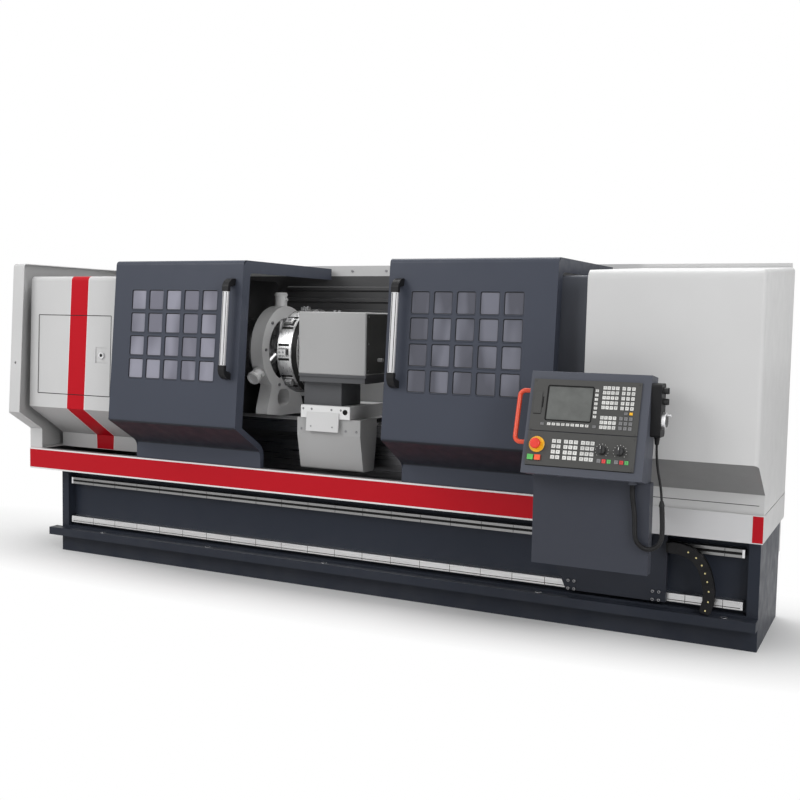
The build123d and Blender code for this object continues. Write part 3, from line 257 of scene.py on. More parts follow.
# %% Group helper
def new_group(name, inputs, outputs):
    """A shader node group with float or colour inputs and outputs. Returns it with its two end nodes."""
    group = bpy.data.node_groups.new(name, "ShaderNodeTree")
    for label, value in inputs:
        kind = "NodeSocketColor" if isinstance(value, tuple) else "NodeSocketFloat"
        group.interface.new_socket(label, in_out="INPUT", socket_type=kind).default_value = value
    for label, kind in outputs:
        group.interface.new_socket(label, in_out="OUTPUT", socket_type=kind)
    return group, group.nodes.new("NodeGroupInput"), group.nodes.new("NodeGroupOutput")


def noise(tree, vector, scale, detail=2.0):
    """A noise texture on a vector. The scale is a number or a socket."""
    node = tree.nodes.new("ShaderNodeTexNoise")
    node.inputs["Detail"].default_value = detail
    tree.links.new(vector, node.inputs["Vector"])
    if isinstance(scale, (int, float)):
        node.inputs["Scale"].default_value = scale
    else:
        tree.links.new(scale, node.inputs["Scale"])
    return node.outputs["Fac"]


def spread(tree, value, low, high, start=0.3, stop=0.7):
    """A value between start and stop becomes one between low and high."""
    node = tree.nodes.new("ShaderNodeMapRange")
    tree.links.new(value, node.inputs["Value"])
    node.inputs["From Min"].default_value = start
    node.inputs["From Max"].default_value = stop
    for label, limit in (("To Min", low), ("To Max", high)):
        if isinstance(limit, (int, float)):
            node.inputs[label].default_value = limit
        else:
            tree.links.new(limit, node.inputs[label])
    return node.outputs["Result"]


def calculate(tree, operation, first, second):
    """A math node. Each side is a number or a socket."""
    node = tree.nodes.new("ShaderNodeMath")
    node.operation = operation
    for socket, value in zip(node.inputs, (first, second)):
        if isinstance(value, (int, float)):
            socket.default_value = value
        else:
            tree.links.new(value, socket)
    return node.outputs["Value"]


def mixed(tree, factor, first, second):
    """A mix of two colours. Each colour is a tuple or a socket."""
    node = tree.nodes.new("ShaderNodeMix")
    node.data_type = "RGBA"
    tree.links.new(factor, node.inputs["Factor"])
    for socket, value in ((node.inputs[6], first), (node.inputs[7], second)):
        if isinstance(value, tuple):
            socket.default_value = value
        else:
            tree.links.new(value, socket)
    return node.outputs[2]


def scaled(tree, colour, factor):
    """A colour brightened or darkened by a factor."""
    node = tree.nodes.new("ShaderNodeVectorMath")
    node.operation = "SCALE"
    tree.links.new(colour, node.inputs[0])
    tree.links.new(factor, node.inputs["Scale"])
    return node.outputs["Vector"]


def object_place(tree):
    """The piece's own coordinates, in metres."""
    return tree.nodes.new("ShaderNodeTexCoord").outputs["Object"]


def hand_out(group, end, **values):
    """Link each value to the group's output of that name."""
    for label, value in values.items():
        group.links.new(value, end.inputs[label])


COLOUR_OUTPUT = ("Colour", "NodeSocketColor")
SURFACE_OUTPUTS = [COLOUR_OUTPUT, ("Roughness", "NodeSocketFloat"), ("Height", "NodeSocketFloat")]


# %% The four groups
def sprayed_group():
    """Paint: tone drifts over half a metre, roughness over a hand's width, peel over two millimetres."""
    inputs = [("Colour", (0.5, 0.5, 0.5, 1.0)), ("Peel Scale", 420.0), ("Drift", 0.05), ("Gloss", 0.35)]
    group, start, end = new_group("sprayed_paint", inputs, SURFACE_OUTPUTS)
    place = object_place(group)
    darker = calculate(group, "SUBTRACT", 1.0, start.outputs["Drift"])
    lighter = calculate(group, "ADD", 1.0, start.outputs["Drift"])
    tone = spread(group, noise(group, place, 2.2, 3.0), darker, lighter)
    hand_out(group, end, Colour=scaled(group, start.outputs["Colour"], tone))
    smoother = calculate(group, "MULTIPLY", start.outputs["Gloss"], 0.85)
    rougher = calculate(group, "MULTIPLY", start.outputs["Gloss"], 1.2)
    hand_out(group, end, Roughness=spread(group, noise(group, place, 14.0, 4.0), smoother, rougher))
    hand_out(group, end, Height=noise(group, place, start.outputs["Peel Scale"]))
    return group


def ground_group():
    """Ground metal: noise stretched sixty times along the grinding direction makes fine lines."""
    inputs = [("Colour", (0.6, 0.6, 0.6, 1.0)), ("Along X", 4.0), ("Along Y", 260.0), ("Along Z", 260.0)]
    group, start, end = new_group("ground_metal", inputs, SURFACE_OUTPUTS)
    place = object_place(group)
    stretch = group.nodes.new("ShaderNodeCombineXYZ")
    for axis in "XYZ":
        group.links.new(start.outputs[f"Along {axis}"], stretch.inputs[axis])
    product = group.nodes.new("ShaderNodeVectorMath")
    product.operation = "MULTIPLY"
    group.links.new(place, product.inputs[0])
    group.links.new(stretch.outputs["Vector"], product.inputs[1])
    lines = noise(group, product.outputs["Vector"], 1.0, 3.0)
    hand_out(group, end, Colour=scaled(group, start.outputs["Colour"], spread(group, lines, 0.86, 1.1)))
    hand_out(group, end, Roughness=spread(group, lines, 0.24, 0.4), Height=lines)
    return group


def moulded_group():
    """Moulded plastic: a fine even grain, a touch lighter where hands polish it."""
    inputs = [("Colour", (0.02, 0.02, 0.02, 1.0)), ("Grain Scale", 900.0)]
    group, start, end = new_group("moulded_plastic", inputs, SURFACE_OUTPUTS)
    place = object_place(group)
    rub = noise(group, place, 18.0, 3.0)
    hand_out(group, end, Colour=scaled(group, start.outputs["Colour"], spread(group, rub, 0.85, 1.25)))
    hand_out(group, end, Roughness=spread(group, rub, 0.5, 0.36))
    hand_out(group, end, Height=noise(group, place, start.outputs["Grain Scale"]))
    return group


def dust_group():
    """Dust: a mask that fades from the floor up to a height, broken up by noise."""
    inputs = [("Colour", (0.5, 0.5, 0.5, 1.0)), ("Reach", 0.3), ("Amount", 0.05)]
    group, start, end = new_group("settled_dust", inputs, [COLOUR_OUTPUT])
    place = object_place(group)
    split = group.nodes.new("ShaderNodeSeparateXYZ")
    group.links.new(place, split.inputs["Vector"])
    height = calculate(group, "DIVIDE", split.outputs["Z"], start.outputs["Reach"])
    near_floor = spread(group, height, start.outputs["Amount"], 0.0, 0.0, 1.0)
    patches = spread(group, noise(group, place, 9.0, 4.0), 0.2, 1.0)
    mask = calculate(group, "MULTIPLY", near_floor, patches)
    hand_out(group, end, Colour=mixed(group, mask, start.outputs["Colour"], DUST_COLOUR))
    return group


DUST_COLOUR = (0.33, 0.31, 0.28, 1.0)
SPRAYED = sprayed_group()
GROUND = ground_group()
MOULDED = moulded_group()
DUST = dust_group()
print("shader groups:", len(bpy.data.node_groups))

# %% [markdown]
# ## Finishes
# Each finish is one of the groups in front of a shader. Paint is a dull base under a thin clear coat,
# ground metal is fully metallic, and plastic is neither. The bump is kept to a few hundredths of a
# millimetre, so that it shows in the highlights and nowhere else.


# %% Finish helpers
PEEL_HEIGHT, LINE_HEIGHT, GRAIN_HEIGHT = 0.00005, 0.00003, 0.00004
BUMP_STRENGTH = 0.5


def finish(name, group, colour, values, bump, shader_values, beyond=(), under=None):
    """A material: a group's colour, roughness and height feed a Principled shader.

    beyond lists (axis, limit, colour): the colour taken on the far side of a plane across that axis.
    On some finishes that colour is real, and on others it is a painted shade.
    under is a painted shade: the darker colour of the sheets that face down."""
    material = bpy.data.materials.new(name)
    material.use_nodes = True
    tree = material.node_tree
    shader = tree.nodes["Principled BSDF"]
    effect = tree.nodes.new("ShaderNodeGroup")
    effect.node_tree = group
    effect.inputs["Colour"].default_value = (*colour, 1.0)
    for label, value in values.items():
        effect.inputs[label].default_value = value
    places = tree.nodes.new("ShaderNodeTexCoord")
    choice = (*colour, 1.0)
    # Painted shade: a sheet that faces down turns to the under colour.
    if under:
        facing = tree.nodes.new("ShaderNodeSeparateXYZ")
        tree.links.new(places.outputs["Normal"], facing.inputs["Vector"])
        downward_shade = spread(tree, facing.outputs["Z"], 1.0, 0.0, -0.5, -0.3)
        choice = mixed(tree, downward_shade, choice, (*under, 1.0))
    # Past each plane the colour changes: to a real colour on the ways and rail, to a painted shade on the
    # tray, rear guard and headstock wall.
    for axis, limit, other in beyond:
        split = tree.nodes.new("ShaderNodeSeparateXYZ")
        tree.links.new(places.outputs["Object"], split.inputs["Vector"])
        far_side = calculate(tree, "GREATER_THAN", split.outputs[axis], limit)
        choice = mixed(tree, far_side, choice, (*other, 1.0))
    if under or beyond:
        tree.links.new(choice, effect.inputs["Colour"])
    tree.links.new(effect.outputs["Colour"], shader.inputs["Base Color"])
    tree.links.new(effect.outputs["Roughness"], shader.inputs["Roughness"])
    lift = tree.nodes.new("ShaderNodeBump")
    lift.inputs["Distance"].default_value = bump
    lift.inputs["Strength"].default_value = BUMP_STRENGTH
    tree.links.new(effect.outputs["Height"], lift.inputs["Height"])
    tree.links.new(lift.outputs["Normal"], shader.inputs["Normal"])
    for label, value in shader_values.items():
        shader.inputs[label].default_value = value
    return material


def paint(name, colour, gloss=0.44, peel=420.0, drift=0.03, sheen=0.3, coat=0.08, dusty=False, **choices):
    """Sprayed paint. sheen is how much it mirrors, and coat is a thin clear layer over it."""
    values = {"Peel Scale": peel, "Drift": drift, "Gloss": gloss}
    surface = {"Coat Weight": coat, "Coat Roughness": 0.2, "Specular IOR Level": sheen}
    material = finish(name, SPRAYED, colour, values, PEEL_HEIGHT, surface, **choices)
    if dusty:
        tree = material.node_tree
        layer = tree.nodes.new("ShaderNodeGroup")
        layer.node_tree = DUST
        shader = tree.nodes["Principled BSDF"]
        tree.links.new(shader.inputs["Base Color"].links[0].from_socket, layer.inputs["Colour"])
        tree.links.new(layer.outputs["Colour"], shader.inputs["Base Color"])
    return material


def metal(name, colour, along=(4.0, 260.0, 260.0), beyond=()):
    """Ground or turned metal, its lines along the axis with the small number."""
    values = {"Along X": along[0], "Along Y": along[1], "Along Z": along[2]}
    return finish(name, GROUND, colour, values, LINE_HEIGHT, {"Metallic": 1.0}, beyond)


def plastic(name, colour, grain=900.0, coat=0.0, sheen=0.4):
    """Moulded plastic or rubber."""
    surface = {"Coat Weight": coat, "Specular IOR Level": sheen}
    return finish(name, MOULDED, colour, {"Grain Scale": grain}, GRAIN_HEIGHT, surface)


# %% The lathe's finishes
# The doors' down-facing sheets, such as the chamfer below the knee, take a near-black under colour: painted
# shade.
DOOR_PAINT = paint("door_paint", (0.052, 0.059, 0.080), sheen=0.2, coat=0.04, under=(0.016, 0.018, 0.025))
BASE_PAINT = paint("base_paint", (0.024, 0.029, 0.042), sheen=0.14, coat=0.03, dusty=True)
RED_PAINT = paint("red_paint", (0.50, 0.006, 0.015), gloss=0.36, drift=0.02, sheen=0.12, coat=0.03)
PALE = (0.60, 0.60, 0.60)
TRAY_SHADE_GREY = (0.16, 0.16, 0.165)
# The light covers' down-facing sheets take a grey under colour: painted shade.
PALE_UNDER_SHADE = (0.46, 0.46, 0.46)
LIGHT_PAINT = paint("light_paint", PALE, under=PALE_UNDER_SHADE)
# The right cover differs from the other light covers only in a darker under colour: painted shade on its
# chamfer.
COVER_PAINT_AND_SHADE = paint("cover_paint_and_shade", PALE, under=(0.22, 0.22, 0.22))
# The headstock cover's right wall faces the working area and is coloured near black there: painted shade.
HEAD_WALL_X, HEAD_WALL_SHADE = -0.7615, (0.045, 0.045, 0.046)
HEAD_PAINT = paint("head_paint", PALE, under=PALE_UNDER_SHADE, beyond=[("X", HEAD_WALL_X, HEAD_WALL_SHADE)])
WHITE_EDGE = paint("white_edge", (0.8, 0.8, 0.8), gloss=0.35, drift=0.02)
CASTING_PAINT = paint("casting_paint", (0.40, 0.40, 0.40), peel=260.0)
STEADY_PAINT = paint("steady_paint", (0.80, 0.80, 0.80), peel=260.0)
# On the headstock casting this dark grey is painted shade, for the dark behind the steady rest; on the
# turret pedestal it is dark grey paint.
DARK_CASTING_AND_SHADE = paint("dark_casting_and_shade", (0.090, 0.092, 0.098), gloss=0.5, peel=260.0, sheen=0.25)
SLIDE_PAINT = paint("slide_paint", (0.66, 0.66, 0.66), gloss=0.36)
# Inside the working area the tray is coloured mid grey: painted shade. Where the right cover hides it, it
# is pale again.
TRAY_INSIDE, TRAY_COVERED_X = deep(-0.080), 1.2
TRAY_PAINT = paint(
    "tray_paint", PALE, gloss=0.5, beyond=[("Y", TRAY_INSIDE, TRAY_SHADE_GREY), ("X", TRAY_COVERED_X, PALE)]
)
# The rear guard's face towards the working area, below its top rail, is near black: painted shade. Its back
# and top rail keep the pale paint.
GUARD_INNER_DEPTH, GUARD_RAIL_LOW = deep(0.6005), 1.518
GUARD_PAINT_AND_SHADE = paint(
    "guard_paint",
    (0.075, 0.075, 0.077),
    gloss=0.5,
    beyond=[("Y", GUARD_INNER_DEPTH, PALE), ("Z", GUARD_RAIL_LOW, PALE)],
)
# The inner guard wears the door paint, lightened to about twice its value: painted light for the shade it
# stands in.
INNER_GUARD_PAINTED_LIGHT = paint("inner_guard_painted_light", (0.110, 0.118, 0.140), sheen=0.2)
PANEL_PAINT = paint("panel_paint", (0.076, 0.082, 0.102), sheen=0.22, coat=0.05)
COLUMN_PAINT = paint("column_paint", (0.042, 0.046, 0.060), sheen=0.2, coat=0.04)
CARRIAGE_PAINT = paint("carriage_paint", (0.024, 0.027, 0.036), sheen=0.16, coat=0.03)
INSERT_PAINT = paint("insert_paint", (0.062, 0.062, 0.060), sheen=0.25)
GRAB_PAINT = paint("grab_paint", (0.80, 0.085, 0.035), gloss=0.26, drift=0.02, coat=0.2)
BED_TOP = 0.7895
BED_FINISH = metal("way_iron", (0.20, 0.20, 0.21), beyond=[("Z", BED_TOP, (0.55, 0.55, 0.56))])
UPPER_RAIL_Z = 0.28
RAIL_STEEL = metal("rail_steel", (0.72, 0.72, 0.72), beyond=[("Z", UPPER_RAIL_Z, (0.30, 0.30, 0.30))])
GROUND_STEEL = metal("ground_steel", (0.62, 0.62, 0.63))
CHUCK_STEEL = metal("chuck_steel", (0.36, 0.36, 0.37), along=(180.0, 30.0, 30.0))
TURRET_STEEL = metal("turret_steel", (0.66, 0.66, 0.66), along=(180.0, 30.0, 30.0))
SATIN = {"Peel Scale": 300.0, "Drift": 0.015, "Gloss": 0.4}
BARE_PLATE = finish("bare_plate", SPRAYED, (0.66, 0.66, 0.67), SATIN, LINE_HEIGHT, {"Metallic": 0.35})
HANDLE_METAL = finish("handle_bar", SPRAYED, (0.60, 0.60, 0.61), SATIN, LINE_HEIGHT, {"Metallic": 0.3})
CHROME = metal("chrome", (0.8, 0.8, 0.81), along=(60.0, 60.0, 60.0))
SCREW_STEEL = metal("screw_steel", (0.3, 0.3, 0.31), along=(200.0, 200.0, 200.0))
BLACK_PLASTIC = plastic("black_plastic", (0.010, 0.010, 0.011), sheen=0.2)
KNOB_PLASTIC = plastic("knob_plastic", (0.016, 0.016, 0.017), coat=0.2)
RUBBER = plastic("rubber", (0.010, 0.010, 0.011), grain=500.0, sheen=0.2)
STOP_RED = plastic("stop_red", (0.78, 0.030, 0.012), coat=0.4)
RING_YELLOW = plastic("ring_yellow", (0.86, 0.45, 0.015), coat=0.2)
START_GREEN = plastic("start_green", (0.10, 0.50, 0.10), coat=0.3)
HOLD_ORANGE = plastic("hold_orange", (0.84, 0.10, 0.03), coat=0.3)
KEY_PALE = plastic("key_pale", (0.66, 0.66, 0.64))
KEY_GREY = plastic("key_grey", (0.20, 0.20, 0.205))
KEY_RED = plastic("key_red", (0.62, 0.05, 0.05))
KEY_GREEN = plastic("key_green", (0.10, 0.42, 0.12))
LEGEND = plastic("legend_dark", (0.03, 0.03, 0.035))
PIN_YELLOW = plastic("pin_yellow", (0.85, 0.74, 0.34))
SLOT_BLACK = plastic("slot_black", (0.006, 0.006, 0.006), sheen=0.15)
print("finishes:", len(bpy.data.materials))

# %% [markdown]
# ## Glass
# The door panes are clear sheets seen against a dark room with a lit window somewhere behind the viewer,
# so they look lilac grey with paler slanting patches. Real reflections would need that room, so here the
# reflections are painted: slow noise, slanted by turning its coordinates, lightens the sheet in painted
# patches, and a low transmission keeps it thin. The left door's panes carry a brighter painted reflection
# than the right door's.
# The screen is a dull anti-glare sheet, plain dark grey with a very fine grain.


# %% Panes and screen
def pane_glass(name, dark, light):
    """Glass with a painted reflection between two greys: noise on coordinates turned by a third of a radian
    makes the slant.
    """
    material = bpy.data.materials.new(name)
    material.use_nodes = True
    tree = material.node_tree
    shader = tree.nodes["Principled BSDF"]
    place = object_place(tree)
    mapping = tree.nodes.new("ShaderNodeMapping")
    mapping.inputs["Rotation"].default_value = (0.0, 0.3, 0.0)
    mapping.inputs["Scale"].default_value = (9.0, 1.0, 2.6)
    tree.links.new(place, mapping.inputs["Vector"])
    patches = noise(tree, mapping.outputs["Vector"], 1.0, 1.0)
    soft = spread(tree, patches, 0.0, 1.0, 0.42, 0.62)
    painted_reflection = mixed(tree, soft, (*dark, 1.0), (*light, 1.0))
    tree.links.new(painted_reflection, shader.inputs["Base Color"])
    shader.inputs["Roughness"].default_value = 0.12
    shader.inputs["Transmission Weight"].default_value = 0.15
    shader.inputs["IOR"].default_value = 1.45
    return material


# One glass in two brightnesses: the left door's painted reflection is brighter than the right door's.
LEFT_PANE = pane_glass("left_pane_glass", (0.20, 0.20, 0.25), (0.34, 0.34, 0.41))
RIGHT_PANE = pane_glass("right_pane_glass", (0.095, 0.098, 0.125), (0.19, 0.195, 0.24))
SCREEN_GLASS = plastic("screen_glass", (0.100, 0.105, 0.100), grain=2600.0, coat=0.1)

# %% [markdown]
# ## Dressing the solids
# A solid that already has the right shape only needs its finish. The table names each finish once and
# lists what wears it, so a colour is changed in one place.

# %% Finish for every solid
FINISH_OF = [
    (DOOR_PAINT, ["left_door_shell", "right_door_shell"]),
    (BASE_PAINT, ["base_casting"]),
    (RED_PAINT, ["fascia_red"]),
    (BARE_PLATE, ["fascia_silver"]),
    (LIGHT_PAINT, ["left_end_cover", "access_door"]),
    (HEAD_PAINT, ["headstock_cover"]),
    (COVER_PAINT_AND_SHADE, ["right_cover"]),
    (TRAY_PAINT, ["chip_tray"]),
    (INNER_GUARD_PAINTED_LIGHT, ["inner_guard"]),
    (GUARD_PAINT_AND_SHADE, ["rear_guard"]),
    (DARK_CASTING_AND_SHADE, ["headstock_casting", "turret_pedestal"]),
    (STEADY_PAINT, ["steady_frame"]),
    (SLIDE_PAINT, ["cross_slide"]),
    (CASTING_PAINT, ["turret_housing", "tailstock_body", "saddle", "apron"]),
    (BED_FINISH, ["bed_casting"]),
    (RAIL_STEEL, ["front_rails"]),
    (GROUND_STEEL, ["tailstock_quill", "live_centre", "spindle"]),
    (GROUND_STEEL, ["steady_quill_1", "steady_quill_2", "steady_quill_3"]),
    (CHUCK_STEEL, ["chuck_body", "chuck_jaw_1", "chuck_jaw_2", "chuck_jaw_3"]),
    (TURRET_STEEL, ["turret_disc"]),
    (LEFT_PANE, ["left_door_panes"]),
    (RIGHT_PANE, ["right_door_panes"]),
    (HANDLE_METAL, ["left_door_handle", "right_door_handle"]),
    (BLACK_PLASTIC, ["left_door_grips", "right_door_grips", "pendant_body", "conduit_ferrule"]),
    (CHROME, ["access_lock", "pendant_wheel"]),
    (PANEL_PAINT, ["panel_box"]),
    (COLUMN_PAINT, ["panel_column"]),
    (CARRIAGE_PAINT, ["carriage_plate"]),
    (INSERT_PAINT, ["screen_plate", "operator_plate"]),
    (KEY_PALE, ["panel_keys"]),
    (STOP_RED, ["stop_button"]),
    (START_GREEN, ["start_button"]),
    (HOLD_ORANGE, ["hold_button"]),
    (KNOB_PLASTIC, ["feed_knob", "speed_knob", "pendant_scale_knob", "pendant_axis_knob"]),
    (GRAB_PAINT, ["grab_handle"]),
    (RUBBER, ["conduit", "pendant_cord"]),
    (SLOT_BLACK, ["energy_chain"]),
]
dressed = set()
for material, nodes in FINISH_OF:
    for node in nodes:
        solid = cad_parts[node]
        if not solid.material_slots:
            solid.data.materials.append(material)
        for place in solid.material_slots:
            place.material = material
        dressed.add(node)
print("dressed", len(dressed), "not dressed", sorted(set(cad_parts) - dressed))

# %% [markdown]
# ## Conduit and pendant cord
# A corrugated conduit hangs from a gland under the panel, turns up in a loop and ends in a ferrule. A
# thin cord comes out of it and goes up to the pendant. Both follow a smooth curve whose control points
# are the route that the solids follow. The conduit's ribs are a radius that goes up and down along the
# curve's length, which is a real shape and not a bump.

# %% Routes
CONDUIT_DIAMETER = 0.019
CORD_DIAMETER = 0.009
CONDUIT_ROUTE = [
    (1.497, -0.516, 0.708),
    (1.497, -0.516, 0.674),
    (1.504, -0.516, 0.632),
    (1.510, -0.515, 0.586),
    (1.511, -0.515, 0.544),
    (1.513, -0.514, 0.508),
    (1.531, -0.513, 0.483),
    (1.560, -0.511, 0.472),
    (1.589, -0.508, 0.482),
    (1.606, -0.505, 0.508),
    (1.609, -0.502, 0.545),
    (1.606, -0.498, 0.590),
    (1.602, -0.494, 0.634),
]
CORD_ROUTE = [
    (1.6002, -0.4922, 0.6538),
    (1.5984, -0.4904, 0.6736),
    (1.591, -0.477, 0.706),
    (1.577, -0.458, 0.748),
    (1.569, -0.450, 0.788),
    (1.565, -0.447, 0.828),
    (1.565, -0.447, 0.852),
]


def route_curve(name, route):
    """A NURBS curve of order 3 through space whose control points are (x, depth, z)."""
    data = bpy.data.curves.new(name, "CURVE")
    data.dimensions = "3D"
    data.resolution_u = 12
    spline = data.splines.new("NURBS")
    spline.points.add(len(route) - 1)
    for point, (x, depth, z) in zip(spline.points, route):
        point.co = (x, deep(depth), z, 1.0)
    spline.order_u = 3
    spline.use_endpoint_u = True
    curve = bpy.data.objects.new(name, data)
    bpy.context.scene.collection.objects.link(curve)
    return curve


def curve_points(curve, step):
    """Points along a curve at equal steps: its own mesh, measured along and sampled again."""
    mesh = bpy.data.meshes.new_from_object(curve)
    points = np.empty(len(mesh.vertices) * 3)
    mesh.vertices.foreach_get("co", points)
    bpy.data.meshes.remove(mesh)
    points = points.reshape(-1, 3)
    along = np.concatenate([[0], np.cumsum(np.linalg.norm(np.diff(points, axis=0), axis=1))])
    steps = np.linspace(0, along[-1], int(along[-1] / step) + 1)
    return np.stack([np.interp(steps, along, points[:, axis]) for axis in range(3)], -1), steps


def tube(points, radius, count):
    """Rings of a radius round a path near the XZ plane: side = Y less its part along the path."""
    ahead = np.gradient(points, axis=0)
    ahead /= np.linalg.norm(ahead, axis=1)[:, None]
    side = Y_AXIS - (ahead @ Y_AXIS)[:, None] * ahead
    side /= np.linalg.norm(side, axis=1)[:, None]
    lift = np.cross(ahead, side)
    angle = np.linspace(0, 2 * np.pi, count, endpoint=False)[None, :, None]
    spoke = np.cos(angle) * side[:, None] + np.sin(angle) * lift[:, None]
    return stacked(points[:, None] + spoke * np.asarray(radius)[:, None, None])


# %% Corrugated conduit
RIB_PITCH = 0.0052
RIB_DEPTH = 0.0009
guide = route_curve("conduit_guide", CONDUIT_ROUTE)
conduit_line, conduit_steps = curve_points(guide, RIB_PITCH / 6)
bpy.data.objects.remove(guide)
rib_wave = np.cos(2 * np.pi * conduit_steps / RIB_PITCH)
conduit_radius = CONDUIT_DIAMETER / 2 - RIB_DEPTH * (1 - np.sign(rib_wave) * np.abs(rib_wave) ** 0.5) / 2
conduit_part = tube(conduit_line, conduit_radius, 20)
conduit_tube = make_piece("conduit_tube", conduit_part, "panel", RUBBER, smooth=True)
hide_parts("conduit")
print("conduit length", round(float(conduit_steps[-1]), 4))

# %% Pendant cord
cord_curve = route_curve("pendant_cord_curve", CORD_ROUTE)
_, cord_steps = curve_points(cord_curve, 0.002)
cord_curve.data.bevel_depth = CORD_DIAMETER / 2
cord_curve.data.bevel_resolution = 5
cord_curve.data.use_fill_caps = True
cord_curve.data.materials.append(RUBBER)
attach(cord_curve, "panel")
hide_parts("pendant_cord")
print("cord length", round(float(cord_steps[-1]), 4))

# %% [markdown]
# ## Screws
# Socket-head screws hold almost everything on a lathe. Each is one turned profile: up the outside of the
# head, over its broken edge, in along the top and down into the socket. One function makes a whole
# group, because a group of screws is one piece here.


# %% Socket screws
def screw_profile(radius, height):
    """Outside wall, chamfer, top and socket wall as (radius, height) pairs."""
    edge = radius * 0.14
    socket = radius * 0.48
    return [
        (radius, 0.0),
        (radius, height - edge),
        (radius - edge, height),
        (socket, height),
        (socket * 0.96, height * 0.35),
    ]


def screws(places, radius, height, origin=(0, 0, 0), right=X_AXIS, up=Z_AXIS):
    """Screw heads at places (a, b) on a plane through origin, spanned by right and up."""
    parts = [turned(screw_profile(radius, height), 14, place) for place in places]
    return placed(joined(parts), origin, right, up)


# %% [markdown]
# ## Windows of the doors
# Each door has twenty small windows pressed into its sheet. The press leaves a soft rim round each one,
# and behind it a black seal holds the pane. Both are frames round a hole: the same outline at several
# widths and heights, joined in a loop. The door's front leans back, so its own plane carries them.

# %% Door plane
DOOR_KNEE = (-0.297, 0.774)
DOOR_HEAD = (-0.234, 1.555)
WINDOW_COLUMNS, WINDOW_ROWS = 5, 4
WINDOW_WIDTH, WINDOW_HEIGHT = 0.087, 0.096
WINDOW_PITCH_X, WINDOW_PITCH_Z = 0.1055, 0.111
WINDOW_SHIFT = -0.014
WINDOW_TOP_DROP = 0.140
WINDOW_CORNER = 0.009
door_lean = np.arctan2(DOOR_HEAD[0] - DOOR_KNEE[0], DOOR_HEAD[1] - DOOR_KNEE[1])
DOOR_UP = np.array([0.0, np.sin(door_lean), np.cos(door_lean)])


def door_origin(side, z):
    """The middle of a door's front at a height."""
    low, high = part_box(f"{side}_door_shell")
    depth = np.interp(z, [DOOR_KNEE[1], DOOR_HEAD[1]], [DOOR_KNEE[0], DOOR_HEAD[0]])
    return np.array([(low.x + high.x) / 2, deep(depth), z])


window_span_z = (WINDOW_ROWS - 1) * WINDOW_PITCH_Z + WINDOW_HEIGHT
window_middle_z = DOOR_HEAD[1] - WINDOW_TOP_DROP - window_span_z / 2
column = (np.arange(WINDOW_COLUMNS) - (WINDOW_COLUMNS - 1) / 2) * WINDOW_PITCH_X + WINDOW_SHIFT
row = (np.arange(WINDOW_ROWS) - (WINDOW_ROWS - 1) / 2) * WINDOW_PITCH_Z / np.cos(door_lean)
window_places = [(across, up) for across in column for up in row]


def window_frames(profile):
    """A frame in each window. The profile is (growth of the outline, height) pairs in a loop."""
    size = (WINDOW_WIDTH, WINDOW_HEIGHT, WINDOW_CORNER)
    return joined([rounded_frame(*size, profile, 5, place) for place in window_places])


# %% Window rims and seals
RIM_PROFILE = [(0.0045, 0.0), (0.0030, 0.0011), (0.0006, 0.0013), (-0.0008, 0.0004), (-0.0008, -0.0034)]
SEAL_PROFILE = [(-0.0008, -0.0014), (-0.0030, -0.0020), (-0.0034, -0.0036), (-0.0008, -0.0036)]
for side in ("left", "right"):
    origin = door_origin(side, window_middle_z)
    rims = placed(window_frames(RIM_PROFILE), origin, X_AXIS, DOOR_UP)
    seals = placed(window_frames(SEAL_PROFILE), origin, X_AXIS, DOOR_UP)
    make_piece(f"{side}_window_rims", rims, f"{side}_door", DOOR_PAINT)
    make_piece(f"{side}_window_seals", seals, f"{side}_door", RUBBER)
print("windows:", 2 * len(window_places))

# %% [markdown]
# ## Door handles
# The pull is an aluminium bar between two curved black ends. A real bar shows a dark bead down each
# edge, where a cover strip is let in.

# %% Handle beads
HANDLE_LENGTH = 0.470
GRIP_LENGTH = 0.064
HANDLE_DROP = 0.086
HANDLE_STAND = 0.056
BEAD_WIDTH, BEAD_THICK, BEAD_INSET, BEAD_SUNK = 0.0030, 0.0015, 0.0065, 0.0009
handle_middle_z = DOOR_HEAD[1] - HANDLE_DROP - HANDLE_LENGTH / 2
bar_half = HANDLE_LENGTH / 2 - GRIP_LENGTH
for side in ("left", "right"):
    low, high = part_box(f"{side}_door_handle")
    origin = door_origin(side, handle_middle_z)
    origin[0] = (low.x + high.x) / 2
    bar_edge = (high.x - low.x) / 2
    bead = rounded_outline(BEAD_WIDTH, 2 * bar_half - 0.004, 0.0012, 2)
    beads = [
        slab(bead, BEAD_THICK, 0.0005, HANDLE_STAND - BEAD_SUNK, (sign * (bar_edge - BEAD_INSET), 0))
        for sign in (-1, 1)
    ]
    beads_part = placed(joined(beads), origin, X_AXIS, DOOR_UP)
    make_piece(f"{side}_handle_beads", beads_part, f"{side}_door", BLACK_PLASTIC)

# %% [markdown]
# ## Red stripe
# A red stripe runs down the light headstock cover, over its knee and under to the tray, with thin white
# lines along its edges. It is paint, so it is a skin less than half a millimetre thick: a narrow
# rectangle carried along the cover's section. The access door opens, so its stretch is a piece of its
# own that rides on that door.

# %% Cover section and stripe
COVER_TOP, COVER_KNEE, COVER_FOOT, COVER_HEM = 1.485, 0.800, 0.640, 0.566
COVER_TOP_DEPTH, COVER_KNEE_DEPTH, COVER_FOOT_DEPTH = -0.150, -0.173, 0.070
COVER_ROUND = 0.024
ACCESS_LOW, ACCESS_HIGH = 0.8758, 1.2822
STRIPE_Z = (COVER_HEM, COVER_FOOT, COVER_KNEE, COVER_TOP)
STRIPE_LEFT = (-1.575, -1.578, -1.560, -1.543)
STRIPE_RIGHT = (-1.461, -1.458, -1.445, -1.428)
EDGE_WIDTH = 0.0035


